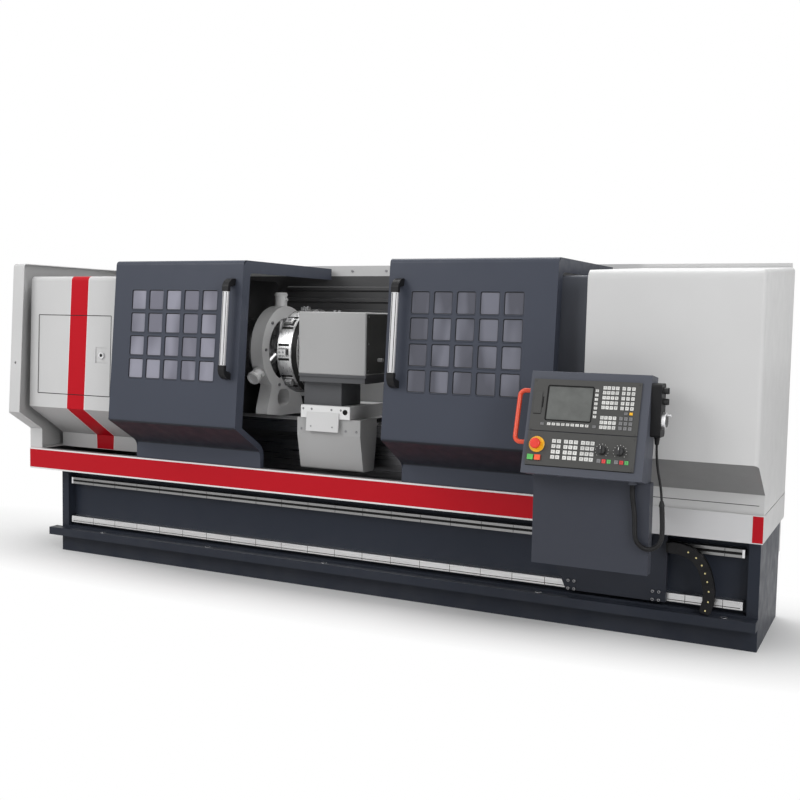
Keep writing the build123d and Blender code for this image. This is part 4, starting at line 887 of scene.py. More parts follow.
def cover_depth(z):
    """Depth of the cover's leaning front at a height."""
    return np.interp(z, [COVER_KNEE, COVER_TOP], [COVER_KNEE_DEPTH, COVER_TOP_DEPTH])


def stripe_x(z, share):
    """X at a height: the stripe's left edge at share 0 and its right edge at share 1."""
    left = np.interp(z, STRIPE_Z, STRIPE_LEFT)
    return left + share * (np.interp(z, STRIPE_Z, STRIPE_RIGHT) - left)


def skin(line, left, right, thickness):
    """A rectangle from left to right carried along a (depth, z) line, standing out by the thickness.

    The way out is the line's direction turned by a quarter: (dz, -d depth)."""
    line = np.asarray(line, float)
    step = np.gradient(line, axis=0)
    step /= np.linalg.norm(step, axis=1)[:, None]
    out = np.stack([-step[:, 1], step[:, 0]], -1)
    under = line + 0.0001 * out
    over = line + thickness * out
    corners = [(right, under), (right, over), (left, over), (left, under)]
    rings = [np.column_stack([x, deep(edge[:, 0]), edge[:, 1]]) for x, edge in corners]
    return stacked(np.stack(rings, 1))


cover_lean = np.arctan2(COVER_TOP_DEPTH - COVER_KNEE_DEPTH, COVER_TOP - COVER_KNEE)
top_turn = np.radians(np.linspace(178, 95, 9))
top_depth = cover_depth(COVER_TOP - COVER_ROUND) + COVER_ROUND / np.cos(cover_lean)
top_centre = np.array([top_depth, COVER_TOP - COVER_ROUND])
top_arc = top_centre + COVER_ROUND * np.stack([np.cos(top_turn), np.sin(top_turn)], -1)
upper_line = np.concatenate(
    [[(cover_depth(ACCESS_HIGH + 0.001), ACCESS_HIGH + 0.001)], top_arc, [(-0.10, COVER_TOP)]]
)
door_line = np.array([(cover_depth(z), z) for z in (ACCESS_LOW, ACCESS_HIGH)])
lower_line = np.array([(cover_depth(z), z) for z in (COVER_KNEE, ACCESS_LOW - 0.001)])
chamfer_line = np.array([(COVER_FOOT_DEPTH, COVER_FOOT), (COVER_KNEE_DEPTH, COVER_KNEE)])
hem_line = np.array([(COVER_FOOT_DEPTH, COVER_HEM), (COVER_FOOT_DEPTH, COVER_FOOT)])


def stripe_parts(line, low_share, high_share, thickness):
    """The skin over one stretch of the section."""
    return skin(line, stripe_x(line[:, 1], low_share), stripe_x(line[:, 1], high_share), thickness)


SKIN_THICK = 0.0004
for name, lines, body in (
    ("cover_stripe", [upper_line, lower_line, chamfer_line, hem_line], "machine"),
    ("access_stripe", [door_line], "access_door"),
):
    red = joined([stripe_parts(line, 0.0, 1.0, SKIN_THICK) for line in lines])
    share = EDGE_WIDTH / (STRIPE_RIGHT[0] - STRIPE_LEFT[0])
    edges = [stripe_parts(line, -share, 0.0, SKIN_THICK) for line in lines]
    edges += [stripe_parts(line, 1.0, 1.0 + share, SKIN_THICK) for line in lines]
    make_piece(name, red, body, RED_PAINT)
    make_piece(f"{name}_edges", joined(edges), body, WHITE_EDGE)

# %% [markdown]
# ## Access door gasket and lock
# The door's outline shows as a fine dark line, which is its rubber gasket. The lock is a chrome knob in
# a square recess, with a black insert.

# %% Gasket and lock insert
ACCESS_X = (-1.763, -1.276)
GASKET_WIDTH, GASKET_BASE, GASKET_TOP, ACCESS_CORNER = 0.0032, 0.0001, 0.0005, 0.002
COVER_UP = np.array([0.0, np.sin(cover_lean), np.cos(cover_lean)])
access_middle_z = (ACCESS_LOW + ACCESS_HIGH) / 2
access_origin = np.array([sum(ACCESS_X) / 2, deep(cover_depth(access_middle_z)), access_middle_z])
access_width = ACCESS_X[1] - ACCESS_X[0]
access_height = ACCESS_HIGH - ACCESS_LOW + 0.0016
gasket_profile = [
    (GASKET_WIDTH, GASKET_BASE), (GASKET_WIDTH, GASKET_TOP), (0.0, GASKET_TOP), (0.0, GASKET_BASE)
]
gasket = rounded_frame(access_width, access_height, ACCESS_CORNER, gasket_profile, 6)
gasket = placed(gasket, access_origin, X_AXIS, COVER_UP)
make_piece("access_gasket", gasket, "machine", RUBBER)
lock_low, lock_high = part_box("access_lock")
lock_face = np.array([(lock_low.x + lock_high.x) / 2, lock_low.y, (lock_low.z + lock_high.z) / 2])
insert = turned([(0.0085, -0.001), (0.0085, 0.0006), (0.0060, 0.0010)], 24)
insert = placed(insert, lock_face, X_AXIS, Z_AXIS)
make_piece("lock_insert", insert, "access_lock", SLOT_BLACK)

# %% [markdown]
# ## Front band
# The red band has a light line along its top and bottom, and the bright plate at the tailstock end
# finishes in a red block. These are strips of foil, so they stand out by about half a millimetre.


# %% Edge lines and end block
def front_strip(x_low, x_high, z_low, z_high, depth, thickness):
    """A flat strip on a front face, between two heights."""
    outline = rounded_outline(x_high - x_low, z_high - z_low, 0.0008, 1)
    centre = np.array([(x_low + x_high) / 2, deep(depth), (z_low + z_high) / 2])
    return placed(slab(outline, thickness, thickness * 0.3), centre, X_AXIS, Z_AXIS)


BAND_DEPTH = -0.090
red_low, red_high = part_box("fascia_red")
bright_low, bright_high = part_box("fascia_silver")
LINE_WIDTH = 0.0075
END_BLOCK, END_BLOCK_INSET = 0.040, 0.004
STRIP_THICK = 0.0006
lines = [
    front_strip(red_low.x, red_high.x, low, low + LINE_WIDTH, BAND_DEPTH, STRIP_THICK)
    for low in (red_high.z - LINE_WIDTH, red_low.z)
]
make_piece("band_lines", joined(lines), "machine", WHITE_EDGE)
end_block = front_strip(
    bright_high.x - END_BLOCK, bright_high.x,
    bright_low.z + END_BLOCK_INSET, bright_high.z - END_BLOCK_INSET,
    BAND_DEPTH, STRIP_THICK,
)
make_piece("band_end_block", end_block, "machine", RED_PAINT)

# %% [markdown]
# ## Rails for the control panel
# Each rail is laid in short lengths, so fine joints cross it. Black foils along both rails are painted
# shadows of their grooves, the lower one has a paler band as well, and a bright cap closes each end.

# %% Rail joints
RAIL_DEPTH = 0.008
JOINT_PITCH = 0.150
JOINT_WIDTH = 0.0022
RAIL_HEIGHTS = (0.176, 0.388)
RAIL_HALF = 0.017
rail_low, rail_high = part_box("front_rails")
JOINT_THICK = 0.0003
joint_places = np.arange(rail_low.x + JOINT_PITCH, rail_high.x - JOINT_WIDTH, JOINT_PITCH)
joints = [
    front_strip(x, x + JOINT_WIDTH, z - RAIL_HALF, z + RAIL_HALF, RAIL_DEPTH, JOINT_THICK)
    for x in joint_places
    for z in RAIL_HEIGHTS
]
make_piece("rail_joints", joined(joints), "machine", SLOT_BLACK)
print("rail joints:", len(joints))

# %% Painted groove shadows and end caps
LOWER_RAIL, UPPER_RAIL = RAIL_HEIGHTS
FOIL = 0.0002


def rail_strip(low, high, x_low=rail_low.x, x_high=rail_high.x):
    """A foil over the rails' front between two heights."""
    return front_strip(x_low, x_high, low, high, RAIL_DEPTH, FOIL)


# Black foils along the rails: painted shadows of their grooves.
shadows = [
    rail_strip(UPPER_RAIL - 0.0055, UPPER_RAIL + 0.0055),
    rail_strip(LOWER_RAIL - 0.0105, LOWER_RAIL - 0.0078),
]
make_piece("rail_groove_shadows", joined(shadows), "machine", SLOT_BLACK)
band = rail_strip(LOWER_RAIL - 0.0060, LOWER_RAIL + 0.0055)
make_piece("rail_band", band, "machine", RAIL_STEEL)
CAP_WIDTH = 0.010
caps = [
    front_strip(x, x + CAP_WIDTH, z - RAIL_HALF, z + RAIL_HALF, RAIL_DEPTH, STRIP_THICK)
    for z in RAIL_HEIGHTS
    for x in (rail_low.x, rail_high.x - CAP_WIDTH)
]
make_piece("rail_caps", joined(caps), "machine", CHROME)

# %% [markdown]
# ## Anchor holes
# Five bolts hold the base to the floor through its ledge. The paint is worn off round each hole, where
# a washer has sat, so a thin bright ring lies there.

# %% Worn rings round the anchor holes
LEDGE_TOP, ANCHOR_DEPTH = 0.132, -0.029
ANCHOR_X = (-1.445, -0.764, -0.083, 0.987, 1.763)
WORN_RING = [(0.0150, 0.0), (0.0146, 0.0006), (0.0118, 0.0006), (0.0118, 0.0)]
worn_profile = [(radius, LEDGE_TOP + height) for radius, height in WORN_RING]
anchor_rings = [round_frame(worn_profile, 28, (x, ANCHOR_DEPTH)) for x in ANCHOR_X]
anchors = placed(joined(anchor_rings), (0, BASE_FRONT, 0), X_AXIS, Y_AXIS)
make_piece("anchor_rings", anchors, "machine", GROUND_STEEL)
print("anchor holes:", len(anchor_rings))

# %% [markdown]
# ## Control panel
# The panel's front leans back, so everything on it is laid out on its own plane: across from the left
# edge of the insert and down from its top edge, as a draughtsman would dimension it. Keys are small
# pads with a broken edge. There are over a hundred, so their points are worked out together.

# %% Panel plane
PANEL_FOOT = (-0.582, 0.729)
PANEL_HEAD = (-0.470, 1.108)
INSERT_LEFT, INSERT_BORDER = 0.015, 0.032
PLATE_THICK = 0.006
panel_low, panel_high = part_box("panel_box")
panel_run = np.hypot(PANEL_HEAD[0] - PANEL_FOOT[0], PANEL_HEAD[1] - PANEL_FOOT[1])
panel_lean = np.arctan2(PANEL_HEAD[0] - PANEL_FOOT[0], PANEL_HEAD[1] - PANEL_FOOT[1])
PANEL_UP = np.array([0.0, np.sin(panel_lean), np.cos(panel_lean)])
insert_corner = np.array([panel_low.x + INSERT_LEFT, deep(PANEL_FOOT[0]), PANEL_FOOT[1]])
insert_corner = insert_corner + (panel_run - INSERT_BORDER) * PANEL_UP


def on_panel(part):
    """A part drawn (across, up, out) from the insert's upper left corner."""
    return placed(part, insert_corner, X_AXIS, PANEL_UP)


def pads(places, base, height, bevel):
    """Pads at places of (across, down, width, height): foot, shoulder and shrunk top, all at once."""
    places = np.asarray(places, float)
    corner = np.array([(1, 1), (-1, 1), (-1, -1), (1, -1)]) / 2
    centre = places[:, :2] * (1, -1)
    rings = []
    for shrink, level in ((0.0, 0.0), (0.0, height - bevel), (bevel, height)):
        flat = centre[:, None] + corner * (places[:, None, 2:] - 2 * shrink)
        rings.append(np.concatenate([flat, np.full((len(places), 4, 1), base + level)], -1))
    return joined([stacked(pad) for pad in np.stack(rings, 1)])


# %% Keys
MM = 0.001
WRITING_COLUMNS = (276, 291, 307, 323, 347, 365, 383)
WRITING_ROWS = (25, 43, 62, 81, 99)
CURSOR_ROWS = (137.5, 155.5, 173.5)
OPERATOR_COLUMNS = (105, 124, 151, 170, 189, 216, 234, 252)
OPERATOR_ROWS = (236.5, 256.5, 277, 297)
SOFT_ROW, SOFT_COLUMN = 172.5, 247.7
BOTTOM_ROW = 299
pale = [(x, y, 12.6, 13) for x in WRITING_COLUMNS for y in WRITING_ROWS]
pale += [(x, y, 12.6, 13) for x in WRITING_COLUMNS[:4] for y in CURSOR_ROWS]
pale += [(76.2 + 18.26 * number, SOFT_ROW, 13, 10) for number in range(9)]
pale += [(SOFT_COLUMN, 37.3 + 16.5 * number, 12, 10) for number in range(7)]
pale += [(x, y, 15, 14) for x in OPERATOR_COLUMNS for y in OPERATOR_ROWS]
grey = [(x, y, 12.6, 13) for x in WRITING_COLUMNS[4:] for y in CURSOR_ROWS] + [(363, 118.5, 12, 10)]
grey += [(50, SOFT_ROW + 1, 13, 10), (250.4, SOFT_ROW + 1, 13, 10)]
grey += [(281, BOTTOM_ROW, 14, 14), (346, BOTTOM_ROW, 14, 14)]
yellow = [(382, 118, 12, 10)]
red_keys = [(300, BOTTOM_ROW, 14, 14), (365, BOTTOM_ROW, 14, 14)]
green_keys = [(319, BOTTOM_ROW, 14, 14), (384, BOTTOM_ROW, 14, 14)]
KEY_HEIGHT, KEY_BEVEL = 0.0030, 0.0010
for name, keys, material in (
    ("keys_pale", pale, KEY_PALE),
    ("keys_grey", grey, KEY_GREY),
    ("key_yellow", yellow, RING_YELLOW),
    ("keys_red", red_keys, KEY_RED),
    ("keys_green", green_keys, KEY_GREEN),
):
    part = on_panel(pads(np.array(keys) * MM, PLATE_THICK, KEY_HEIGHT, KEY_BEVEL))
    make_piece(name, part, "panel", material)
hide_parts("panel_keys")

# %% Bare marks on the keys
all_keys = np.array(pale + grey + red_keys + green_keys) * MM
mark_rows = []
for shift, length in ((-0.0018, 0.42), (0.0018, 0.26)):
    marks = all_keys.copy()
    marks[:, 1] += shift
    marks[:, 2] *= length
    marks[:, 3] = 0.0012
    mark_rows.append(marks)
MARK_SUNK = 0.0001
mark_base = PLATE_THICK + KEY_HEIGHT - MARK_SUNK
marks_part = on_panel(pads(np.concatenate(mark_rows), mark_base, 0.0003, 0.0001))
make_piece("key_marks", marks_part, "panel", LEGEND)
print("keys:", len(all_keys) + len(yellow))

# %% Screen, card slot and insert screws
SCREEN_WIDTH, SCREEN_HEIGHT = 0.171, 0.128
SCREEN_PLACE = (0.061 + SCREEN_WIDTH / 2, -(0.027 + SCREEN_HEIGHT / 2))
INSERT_WIDTH = panel_high.x - panel_low.x - INSERT_LEFT - INSERT_BORDER
SCREEN_BASE, SCREEN_GAP = 0.0030, 0.001
glass = rounded_outline(SCREEN_WIDTH - SCREEN_GAP, SCREEN_HEIGHT - SCREEN_GAP, 0.002)
glass = slab(glass, 0.0012, 0.0003, SCREEN_BASE, SCREEN_PLACE)
make_piece("screen", on_panel(glass), "panel", SCREEN_GLASS)
BEZEL_PROFILE = [
    (0.0050, PLATE_THICK), (0.0042, PLATE_THICK + 0.0012), (0.0004, PLATE_THICK + 0.0009), (0.0004, 0.0042)
]
bezel = rounded_frame(SCREEN_WIDTH, SCREEN_HEIGHT, 0.003, BEZEL_PROFILE, centre=SCREEN_PLACE)
make_piece("screen_bezel", on_panel(bezel), "panel", SLOT_BLACK)
insert_height = panel_run - 2 * INSERT_BORDER
PLATE_SPLIT = 0.2035
shadow_lines = [
    slab(rounded_outline(width, height, 0.0005, 1), 0.0006, 0.0002, base, (across, -down))
    for across, down, width, height, base in (
        (0.0435, 0.090, 0.0045, 0.042, PLATE_THICK),
        (0.0240, 0.1353, 0.0300, 0.0026, PLATE_THICK),
        (INSERT_WIDTH / 2, insert_height + 0.0014, INSERT_WIDTH, 0.0024, 0.0),
        (INSERT_WIDTH / 2, PLATE_SPLIT, INSERT_WIDTH - 0.002, 0.0026, 0.0),
    )
]
make_piece("panel_shadow_lines", on_panel(joined(shadow_lines)), "panel", SLOT_BLACK)
SCREW_INSET = 0.008
insert_corners = [
    (across, -down)
    for across in (SCREW_INSET, INSERT_WIDTH - SCREW_INSET)
    for down in (SCREW_INSET, PLATE_SPLIT - 0.0095, PLATE_SPLIT + 0.0095, insert_height - SCREW_INSET)
]
plate_face = insert_corner + PLATE_THICK * np.cross(X_AXIS, PANEL_UP)
insert_screws = screws(insert_corners, 0.0028, 0.0014, plate_face, X_AXIS, PANEL_UP)
make_piece("insert_screws", insert_screws, "panel", INSERT_PAINT)

# %% Emergency stop ring and knob dials
STOP_PLACE = (0.039, -0.253)
KNOB_PLACES = ((0.289, -0.260), (0.356, -0.260))
RING_EDGE = PLATE_THICK + 0.003
RING_TOP = RING_EDGE + 0.0008
RING_PROFILE = [
    (0.0302, PLATE_THICK), (0.0302, RING_EDGE), (0.0292, RING_TOP), (0.0140, RING_TOP), (0.0140, RING_EDGE)
]
stop_ring = round_frame(RING_PROFILE, centre=STOP_PLACE)
make_piece("stop_ring", on_panel(stop_ring), "panel", RING_YELLOW)
TICK_RADIUS = 0.0245
TICK_PROFILE = [(0.0013, PLATE_THICK), (0.0011, PLATE_THICK + 0.0004)]
tick_places = [
    np.array(knob) + place
    for knob in KNOB_PLACES
    for place in polar(TICK_RADIUS, np.linspace(-45, 225, 11))
]
ticks = [turned(TICK_PROFILE, 10, place) for place in tick_places]
make_piece("knob_ticks", on_panel(joined(ticks)), "panel", KEY_PALE)

# %% Knob pointers
for name, (across, up) in zip(("feed_knob", "speed_knob"), KNOB_PLACES):
    line = slab(rounded_outline(0.0016, 0.011, 0.0006, 2), 0.0004, 0.0001, 0.0313, (across, up + 0.0075))
    make_piece(f"{name}_line", on_panel(line), name, KEY_PALE)

# %% [markdown]
# ## Carriage and pendant
# Eight socket screws hold the carriage plate on its slides. The pendant hangs on the panel's right wall:
# a black box with a chrome handwheel, whose dial has a hundred divisions on the real one and every
# fifth marked here.

# %% Carriage screws
CARRIAGE_DEPTH = -0.018
CARRIAGE_LEFT, CARRIAGE_RIGHT = 1.105, 1.528
carriage_places = [
    (x + dx, 0.182 + dz)
    for x in (CARRIAGE_LEFT + 0.024, CARRIAGE_RIGHT - 0.040)
    for dx in (-0.013, 0.013)
    for dz in (-0.017, 0.017)
]
carriage_screws = screws(carriage_places, 0.0068, 0.0068, (0, deep(CARRIAGE_DEPTH - 0.0002), 0))
make_piece("carriage_screws", carriage_screws, "panel", SCREW_STEEL)

# %% Pendant wheel and dial
PENDANT_DEPTH = -0.447
WHEEL_Z, DIAL_OFF = 0.942, 0.0264
wheel_origin = np.array([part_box("pendant_wheel")[0].x + DIAL_OFF, deep(PENDANT_DEPTH), WHEEL_Z])
dial_disc = turned([(0.0235, 0.0), (0.0235, 0.0010), (0.0225, 0.0014)], 40)
dial_disc = placed(dial_disc, wheel_origin, Y_AXIS, Z_AXIS)
make_piece("wheel_dial", dial_disc, "pendant_wheel", KNOB_PLASTIC)
DIAL_TICK = [(0.0009, 0.0013), (0.0008, 0.0017)]
dial_ticks = [turned(DIAL_TICK, 8, place) for place in polar(0.0205, np.arange(0, 360, 18))]
dial_ticks = placed(joined(dial_ticks), wheel_origin, Y_AXIS, Z_AXIS)
make_piece("wheel_ticks", dial_ticks, "pendant_wheel", KEY_PALE)
RELIEF_FOOT, RELIEF_PITCH, RELIEF_RADIUS, RELIEF_GROWTH = 0.856, 0.0052, 0.0076, 0.0007
relief_rings = []
for number in range(5):
    radius = RELIEF_RADIUS + number * RELIEF_GROWTH
    ring = [(radius, 0.0), (radius + 0.0012, 0.0008), (radius + 0.0012, 0.0024), (radius, 0.0032)]
    origin = (CORD_ROUTE[-1][0], deep(PENDANT_DEPTH), RELIEF_FOOT + number * RELIEF_PITCH)
    relief_rings.append(placed(turned(ring, 20), origin, X_AXIS, Y_AXIS))
make_piece("relief_rings", joined(relief_rings), "panel", RUBBER)

# %% [markdown]
# ## Energy chain
# The chain is a row of black links, each pinned to the next, and the pins show as pale dots along its
# middle line. It leaves the carriage, bends over and comes down to the ledge. Its body is a rectangle
# carried along the pins, and over that lies a rounded side plate from each pin to the next. The plates
# lie alternately nearer and further, as they overlap on a real chain.

# %% Chain body
CHAIN_WIDTH = 0.046
CHAIN_FRONT, CHAIN_BACK = -0.046, -0.006
pins = np.array([
    (1.552, 0.392), (1.585, 0.391), (1.618, 0.382), (1.650, 0.363), (1.673, 0.335),
    (1.687, 0.304), (1.697, 0.271), (1.704, 0.232), (1.703, 0.190), (1.693, 0.153),
])
chain_line = np.concatenate([[(1.5288, 0.391)], pins, [(1.690, 0.144)]])


def chain_body(line, half_width):
    """A rectangle carried along (x, z) points: half_width each way along (dz, -dx), front to back."""
    step = np.gradient(line, axis=0)
    step /= np.linalg.norm(step, axis=1)[:, None]
    side = half_width * np.stack([step[:, 1], -step[:, 0]], -1)
    rings = []
    for sign, depth in ((-1, CHAIN_FRONT), (1, CHAIN_FRONT), (1, CHAIN_BACK), (-1, CHAIN_BACK)):
        edge = line + sign * side
        rings.append(np.column_stack([edge[:, 0], np.full(len(line), deep(depth)), edge[:, 1]]))
    return stacked(np.stack(rings, 1))


chain_part = chain_body(chain_line, 0.020)
chain_piece = make_piece("chain_body", chain_part, "panel", SLOT_BLACK)
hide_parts("energy_chain")

# %% Link plates and pins
LINK_THICK, LINK_OVERHANG = 0.0012, 0.030
links = []
for number, (first, second) in enumerate(zip(pins, pins[1:])):
    span = second - first
    reach = np.linalg.norm(span)
    along = np.array([span[0], 0.0, span[1]]) / reach
    across = np.cross(np.array([0.0, -1.0, 0.0]), along)
    outline = rounded_outline(reach + LINK_OVERHANG, CHAIN_WIDTH, LINK_OVERHANG / 2, 5)
    middle = (first + second) / 2
    origin = np.array([middle[0], deep(CHAIN_FRONT), middle[1]])
    plate = slab(outline, LINK_THICK * (1 + number % 2), 0.0006, 0.0001)
    links.append(placed(plate, origin, along, across))
make_piece("chain_links", joined(links), "panel", BLACK_PLASTIC)
PIN_PROFILE = [(0.0034, 0.0), (0.0034, 0.0030), (0.0026, 0.0036)]
pin_heads = [
    placed(turned(PIN_PROFILE, 16), (x, deep(CHAIN_FRONT), z), X_AXIS, Z_AXIS)
    for x, z in pins[2:]
]
make_piece("chain_pins", joined(pin_heads), "panel", PIN_YELLOW)
print("links:", len(links))

# %% [markdown]
# ## Chuck
# The chuck's face has turned rings and six screws, and each jaw is held by two. The jaws slide out, so
# their screws ride on the jaws.

# %% Chuck rings and screws
SPINDLE_DEPTH, SPINDLE_Z = 0.320, 1.130


def on_axis(x, depth=SPINDLE_DEPTH):
    """The point at an x on the spindle's axis, or on the turret's at its own depth."""
    return np.array([x, deep(depth), SPINDLE_Z])


def outward_at(turn):
    """The unit vector that leaves the X axis at an angle: (0, cos, sin)."""
    return np.array([0.0, np.cos(turn), np.sin(turn)])


chuck_low, chuck_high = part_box("chuck_body")
chuck_face = on_axis(chuck_high.x)
chuck_screw_places = polar(0.118, (15, 45, 135, 165, 255, 285))
chuck_screws = screws(chuck_screw_places, 0.0075, 0.0030, chuck_face, Y_AXIS, Z_AXIS)
make_piece("chuck_screws", chuck_screws, "spindle", SCREW_STEEL)
RIM_RING = [(0.1570, 0.0), (0.1576, 0.0010), (0.1576, 0.0024), (0.1570, 0.0034)]
chuck_rim = []
for x in (chuck_low.x + 0.012, chuck_low.x + 0.030, chuck_high.x - 0.014):
    chuck_rim.append(placed(turned(RIM_RING, 72), on_axis(x), Y_AXIS, Z_AXIS))
make_piece("chuck_rim_rings", joined(chuck_rim), "spindle", GROUND_STEEL)
JAW_STEPS = ((0.061, 0.036), (0.092, 0.024), (0.123, 0.012))
for number in range(3):
    outward = outward_at(np.radians(90 + 120 * number))
    sideways = np.cross(X_AXIS, outward)
    heads = []
    for radius, proud in JAW_STEPS:
        origin = chuck_face + radius * outward + (proud + 0.0001) * X_AXIS
        heads.append(placed(turned(screw_profile(0.0075, 0.0022), 14), origin, outward, sideways))
    jaw = f"chuck_jaw_{number + 1}"
    make_piece(f"jaw_screws_{number + 1}", joined(heads), jaw, SCREW_STEEL)

# %% [markdown]
# ## Steady rest
# Each of the three quills passes a boss, which has a collar at its end and a clamp screw in its side.
# Six screws go through the face of the ring.

# %% Steady details
STEADY_X, STEADY_HALF = -0.565, 0.035
COLLAR_REACH, CLAMP_REACH, CLAMP_OFF = 0.272, 0.255, 0.031
COLLAR = [(0.0312, 0.0), (0.0345, 0.0020), (0.0345, 0.0120), (0.0312, 0.0140)]
steady_centre = on_axis(STEADY_X)
steady_parts = []
for turn in np.radians([90, 210, 330]):
    outward = outward_at(turn)
    collar_foot = steady_centre + COLLAR_REACH * outward
    steady_parts.append(placed(turned(COLLAR, 36), collar_foot, X_AXIS, np.cross(outward, X_AXIS)))
    clamp_foot = steady_centre + CLAMP_REACH * outward + CLAMP_OFF * X_AXIS
    clamp = screws([(0.0, 0.0)], 0.0080, 0.0080, clamp_foot, outward, np.cross(X_AXIS, outward))
    steady_parts.append(clamp)
make_piece("steady_collars", joined(steady_parts), "machine", STEADY_PAINT)
ring_screws = polar(0.191, (45, 135, 180, 0, 250, 290))
steady_screws = screws(ring_screws, 0.0080, 0.0060, on_axis(STEADY_X + STEADY_HALF), Y_AXIS, Z_AXIS)
make_piece("steady_screws", steady_screws, "machine", SCREW_STEEL)

# %% [markdown]
# ## Tool turret
# The turret holds a tool block in each of eight slots. Each block has a wedge with two screws and a
# gold-coloured cutting tip, and a dark strip along each side of its slot is painted shade of the slot. The
# disc's face has a circle of screws, and a dark band runs round its back.

# %% Turret details
TURRET_DEPTH = 0.100
TIP_GOLD = metal("tip_gold", (0.78, 0.55, 0.18), along=(120.0, 120.0, 120.0))
turret_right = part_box("turret_disc")[1].x
TURRET_THICK, BACK_THICK = 0.080, 0.038
WEDGE_REACH, SLOT_REACH, TIP_SUNK = 0.216, 0.1985, 0.008
disc_left = turret_right - BACK_THICK - TURRET_THICK
turret_face = on_axis(disc_left, TURRET_DEPTH)
turret_screws = screws(polar(0.090, np.arange(8) * 45 + 22.5), 0.0085, 0.0040, turret_face, Z_AXIS, Y_AXIS)
make_piece("turret_screws", turret_screws, "turret", SCREW_STEEL)
wedge_parts, tip_parts, slot_shade_parts = [], [], []
wedge_heads = [turned(screw_profile(0.0052, 0.0024), 12, (along, 0.0)) for along in (-0.010, 0.010)]
tip = slab(rounded_outline(0.011, 0.011, 0.002, 2), 0.0022, 0.0006)
# Dark strips on the rim beside each slot: painted shade of the slot.
plate = slab(rounded_outline(0.060, 0.011, 0.002, 2), 0.0010, 0.0003)
middle = on_axis(disc_left + TURRET_THICK / 2, TURRET_DEPTH)
for number in range(8):
    outward = outward_at(np.radians(45 * number))
    sideways = np.cross(outward, X_AXIS)
    top = middle + WEDGE_REACH * outward
    wedge_parts += [placed(head, top, X_AXIS, sideways) for head in wedge_heads]
    tip_place = top - TIP_SUNK * outward - 0.0200 * X_AXIS
    tip_parts.append(placed(tip, tip_place, outward, np.cross(outward, -X_AXIS)))
    for side in (-1, 1):
        slot_shade_place = middle + SLOT_REACH * outward + side * 0.034 * sideways - 0.0030 * outward
        slot_shade_parts.append(placed(plate, slot_shade_place, X_AXIS, sideways))
make_piece("turret_wedge_screws", joined(wedge_parts), "turret", SCREW_STEEL)
make_piece("turret_tips", joined(tip_parts), "turret", TIP_GOLD)
make_piece("turret_slot_shade", joined(slot_shade_parts), "turret", SLOT_BLACK)
back_band = turned([(0.2052, 0.0), (0.2056, 0.001), (0.2056, 0.0290), (0.2052, 0.0295)], 96)
back_place = on_axis(turret_right - BACK_THICK + 0.008, TURRET_DEPTH)
back_band = placed(back_band, back_place, Y_AXIS, Z_AXIS)
make_piece("turret_back_band", back_band, "turret", SLOT_BLACK)

# %% [markdown]
# ## Turret housing and slides
# The housing is a painted box with a dark cover on its right side, held by six screws. Below it the
# cross slide's white front plate has a row of screws and a black plug, and rubber wipers sweep the ways
# at each end of the saddle.

# %% Housing cover and screws
house_low, house_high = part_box("turret_housing")
SIDE_FLANGE, SIDE_MARGIN, SIDE_SCREW_INSET = 0.026, 0.016, 0.014
house_middle_y, house_middle_z = (house_low.y + house_high.y) / 2, (house_low.z + house_high.z) / 2
house_middle = np.array([house_high.x - SIDE_FLANGE, house_middle_y, house_middle_z])
side_width = house_high.y - house_low.y - SIDE_MARGIN
side_height = house_high.z - house_low.z - SIDE_MARGIN
side_cover = slab(rounded_outline(side_width, side_height, 0.006), 0.0016, 0.0006)
side_cover = placed(side_cover, house_middle, Y_AXIS, Z_AXIS)
make_piece("housing_side_cover", side_cover, "cross_slide", INSERT_PAINT)
side_places = [
    (across * (side_width / 2 - SIDE_SCREW_INSET), up * (side_height / 2 - SIDE_SCREW_INSET))
    for across in (-1, 1)
    for up in (-1, 0, 1)
]
side_screws = screws(side_places, 0.0045, 0.0030, house_middle + 0.0014 * X_AXIS, Y_AXIS, Z_AXIS)
make_piece("housing_screws", side_screws, "cross_slide", SCREW_STEEL)
top_places = [(-0.110, -0.060), (-0.085, -0.060)]
top_screws = screws(top_places, 0.0075, 0.0070, (0, 0.12, house_high.z), X_AXIS, Y_AXIS)
make_piece("housing_top_screws", top_screws, "cross_slide", SCREW_STEEL)

# %% Cross slide plate
SLIDE_FRONT = -0.060
slide_low, slide_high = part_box("cross_slide")
plate_face = front_strip(slide_low.x + 0.001, slide_high.x - 0.001, 0.8262, 0.8840, SLIDE_FRONT, 0.0008)
make_piece("slide_plate", plate_face, "cross_slide", WHITE_EDGE)
plug_places = [(x, 0.867) for x in (-0.189, -0.143, -0.036, 0.014)]
plate_plugs = screws(plug_places, 0.0052, 0.0018, (0, deep(SLIDE_FRONT - 0.0007), 0))
make_piece("slide_screws", plate_plugs, "cross_slide", SCREW_STEEL)
PLUG_PROFILE = [(0.0125, 0.0), (0.0125, 0.0016), (0.0105, 0.0022), (0.0075, 0.0022), (0.0070, 0.0008)]
plug = placed(turned(PLUG_PROFILE, 28), (0.037, deep(SLIDE_FRONT - 0.0007), 0.859), X_AXIS, Z_AXIS)
make_piece("slide_plug", plug, "cross_slide", SLOT_BLACK)
splash_places = [(-0.140, 0.787), (-0.025, 0.787)]
splash_screws = screws(splash_places, 0.0035, 0.0016, (0, deep(SLIDE_FRONT - 0.0130), 0))
make_piece("splash_screws", splash_screws, "cross_slide", SCREW_STEEL)

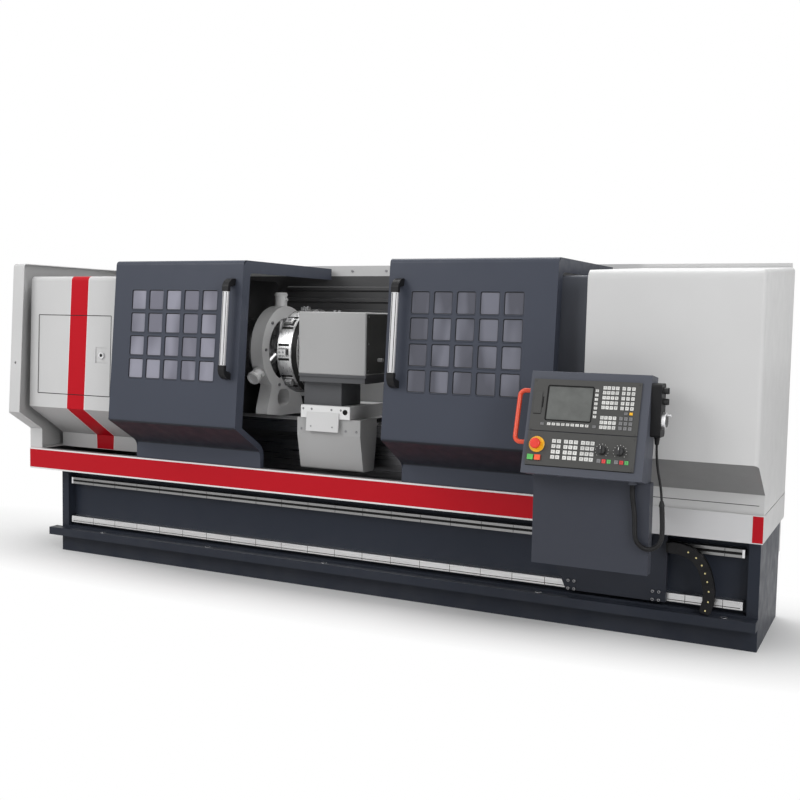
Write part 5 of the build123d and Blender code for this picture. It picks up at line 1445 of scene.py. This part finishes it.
# %% Saddle wipers and screws
saddle_low, saddle_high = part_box("saddle")
SADDLE_FRONT = -0.050
WAY_DEPTHS = (0.150, 0.475)
WIPER_Z = 0.812
wiper = slab(rounded_outline(0.070, 0.020, 0.003, 3), 0.0045, 0.001)
wipers = [
    placed(wiper, (x, deep(depth), WIPER_Z), right, Z_AXIS)
    for x, right in ((saddle_low.x, -Y_AXIS), (saddle_high.x, Y_AXIS))
    for depth in WAY_DEPTHS
]
make_piece("way_wipers", joined(wipers), "saddle", RUBBER)
skirt_places = [(x, 0.770) for x in (-0.205, -0.145, -0.085, -0.025, 0.035, 0.092)]
skirt_screws = screws(skirt_places, 0.0055, 0.0024, (0, deep(SADDLE_FRONT), 0))
make_piece("skirt_screws", skirt_screws, "saddle", SCREW_STEEL)

# %% [markdown]
# ## Tailstock
# The quill is engraved along its top, so that the operator can read how far it stands out, and a ring of
# screws holds its front bearing.

# %% Quill marks and bearing ring
tail_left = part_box("tailstock_body")[0].x
quill_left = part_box("tailstock_quill")[0].x
QUILL_RADIUS = 0.045
MARK_PITCH = 0.010
mark_parts = []
for number, x in enumerate(np.arange(quill_left + MARK_PITCH, tail_left - 0.002, MARK_PITCH)):
    width = 0.016 if number % 5 == 4 else 0.009
    outline = rounded_outline(0.0008, width, 0.0003, 1)
    origin = (x, deep(SPINDLE_DEPTH), SPINDLE_Z + QUILL_RADIUS - 0.0006)
    mark_parts.append(placed(slab(outline, 0.0009, 0.0002), origin, X_AXIS, Y_AXIS))
make_piece("quill_marks", joined(mark_parts), "tailstock_quill", SLOT_BLACK)
BEARING_PROFILE = [(0.078, 0.0), (0.078, 0.008), (0.075, 0.010), (0.0462, 0.010), (0.0462, 0.0)]
bearing_face = on_axis(tail_left)
bearing_ring = placed(round_frame(BEARING_PROFILE), bearing_face, Z_AXIS, Y_AXIS)
make_piece("tail_bearing_ring", bearing_ring, "tailstock", GROUND_STEEL)
screw_face = bearing_face - 0.0098 * X_AXIS
bearing_screws = screws(polar(0.062, np.arange(6) * 60), 0.0055, 0.0040, screw_face, Z_AXIS, Y_AXIS)
make_piece("tail_bearing_screws", bearing_screws, "tailstock", SCREW_STEEL)

# %% [markdown]
# ## Right cover
# The long light cover is folded from two sheets. The seam between them runs across its foot as a fine
# dark line. Behind the working area, a row of screws runs along the top rail of the rear guard.

# %% Cover seam and guard screws
cover_low, cover_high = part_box("right_cover")
RIGHT_FOOT_DEPTH = -0.080
seam = front_strip(cover_low.x + 0.002, cover_high.x - 0.02, 0.5985, 0.6010, RIGHT_FOOT_DEPTH, 0.0004)
make_piece("cover_seam", seam, "machine", SLOT_BLACK)
guard_places = [(x, 1.545) for x in np.arange(-0.70, 0.70, 0.20)]
guard_screws = screws(guard_places, 0.0070, 0.0050, (0, deep(0.600), 0))
make_piece("guard_screws", guard_screws, "machine", SCREW_STEEL)

# %% [markdown]
# ## Floor and light
# The photograph was taken on white, with only a soft shadow. The floor is pale near the lathe, so it
# takes the shadow, and turns to plain white further out, where the world behind it is white too. The
# light is soft: one large lamp high at the front left, a weaker one at the right, and a broad one above
# and behind.


# %% Floor
FLOOR_SIZE = 60.0
FLOOR_TONE = (0.88, 0.88, 0.88, 1.0)
PALE_REACH, WHITE_REACH = 0.40, 0.86
floor_corner = np.array([(-1, -1, 0), (1, -1, 0), (1, 1, 0), (-1, 1, 0)]) * FLOOR_SIZE / 2
floor_mesh = bpy.data.meshes.new("floor")
floor_mesh.from_pydata(floor_corner.tolist(), [], [[0, 1, 2, 3]])
floor = bpy.data.objects.new("floor", floor_mesh)
bpy.context.scene.collection.objects.link(floor)
floor_material = bpy.data.materials.new("floor_white")
floor_material.use_nodes = True
tree = floor_material.node_tree
tree.nodes.clear()
place = object_place(tree)
flatten = tree.nodes.new("ShaderNodeMapping")
flatten.inputs["Location"].default_value = (0.0, -0.27, 0.0)
flatten.inputs["Scale"].default_value = (0.22, 1.0, 0.0)
tree.links.new(place, flatten.inputs["Vector"])
distance = tree.nodes.new("ShaderNodeVectorMath")
distance.operation = "LENGTH"
tree.links.new(flatten.outputs["Vector"], distance.inputs[0])
far = spread(tree, distance.outputs["Value"], 0.0, 1.0, PALE_REACH, WHITE_REACH)
seen = calculate(tree, "MULTIPLY", far, tree.nodes.new("ShaderNodeLightPath").outputs["Is Camera Ray"])
matte = tree.nodes.new("ShaderNodeBsdfDiffuse")
matte.inputs["Color"].default_value = FLOOR_TONE
white = tree.nodes.new("ShaderNodeEmission")
blend = tree.nodes.new("ShaderNodeMixShader")
tree.links.new(seen, blend.inputs["Fac"])
tree.links.new(matte.outputs["BSDF"], blend.inputs[1])
tree.links.new(white.outputs["Emission"], blend.inputs[2])
result = tree.nodes.new("ShaderNodeOutputMaterial")
tree.links.new(blend.outputs["Shader"], result.inputs["Surface"])
floor_mesh.materials.append(floor_material)

# %% World
AMBIENT = 0.40
world = bpy.data.worlds.new("studio")
bpy.context.scene.world = world
world.use_nodes = True
tree = world.node_tree
sky = tree.nodes["Background"]
path = tree.nodes.new("ShaderNodeLightPath")
visible = calculate(tree, "MAXIMUM", path.outputs["Is Camera Ray"], path.outputs["Is Glossy Ray"])
visible = calculate(tree, "MAXIMUM", visible, path.outputs["Is Transmission Ray"])
tree.links.new(spread(tree, visible, AMBIENT, 1.0, 0.0, 1.0), sky.inputs["Strength"])
sky.inputs["Color"].default_value = (1.0, 1.0, 1.0, 1.0)


# %% Lamps
def soft_lamp(name, place, target, size, watts):
    """A square lamp at a place that looks at a target: its -Z axis is the way to the target."""
    data = bpy.data.lights.new(name, "AREA")
    data.shape = "SQUARE"
    data.size = size
    data.energy = watts
    lamp = bpy.data.objects.new(name, data)
    bpy.context.scene.collection.objects.link(lamp)
    back = np.asarray(place, float) - np.asarray(target, float)
    back /= np.linalg.norm(back)
    side = np.cross(Z_AXIS, back)
    side /= np.linalg.norm(side)
    turned_axes = np.eye(4)
    turned_axes[:3, :3] = np.stack([side, np.cross(back, side), back], 1)
    turned_axes[:3, 3] = place
    lamp.matrix_world = Matrix(turned_axes.tolist())


soft_lamp("front_left", (-3.0, -4.5, 4.2), (-0.3, 0.0, 0.8), 3.0, 140)
soft_lamp("front_right", (5.0, -3.5, 3.0), (0.8, 0.0, 0.8), 2.5, 110)
soft_lamp("above", (0.0, 1.6, 4.5), (0.0, 0.2, 1.0), 4.0, 170)
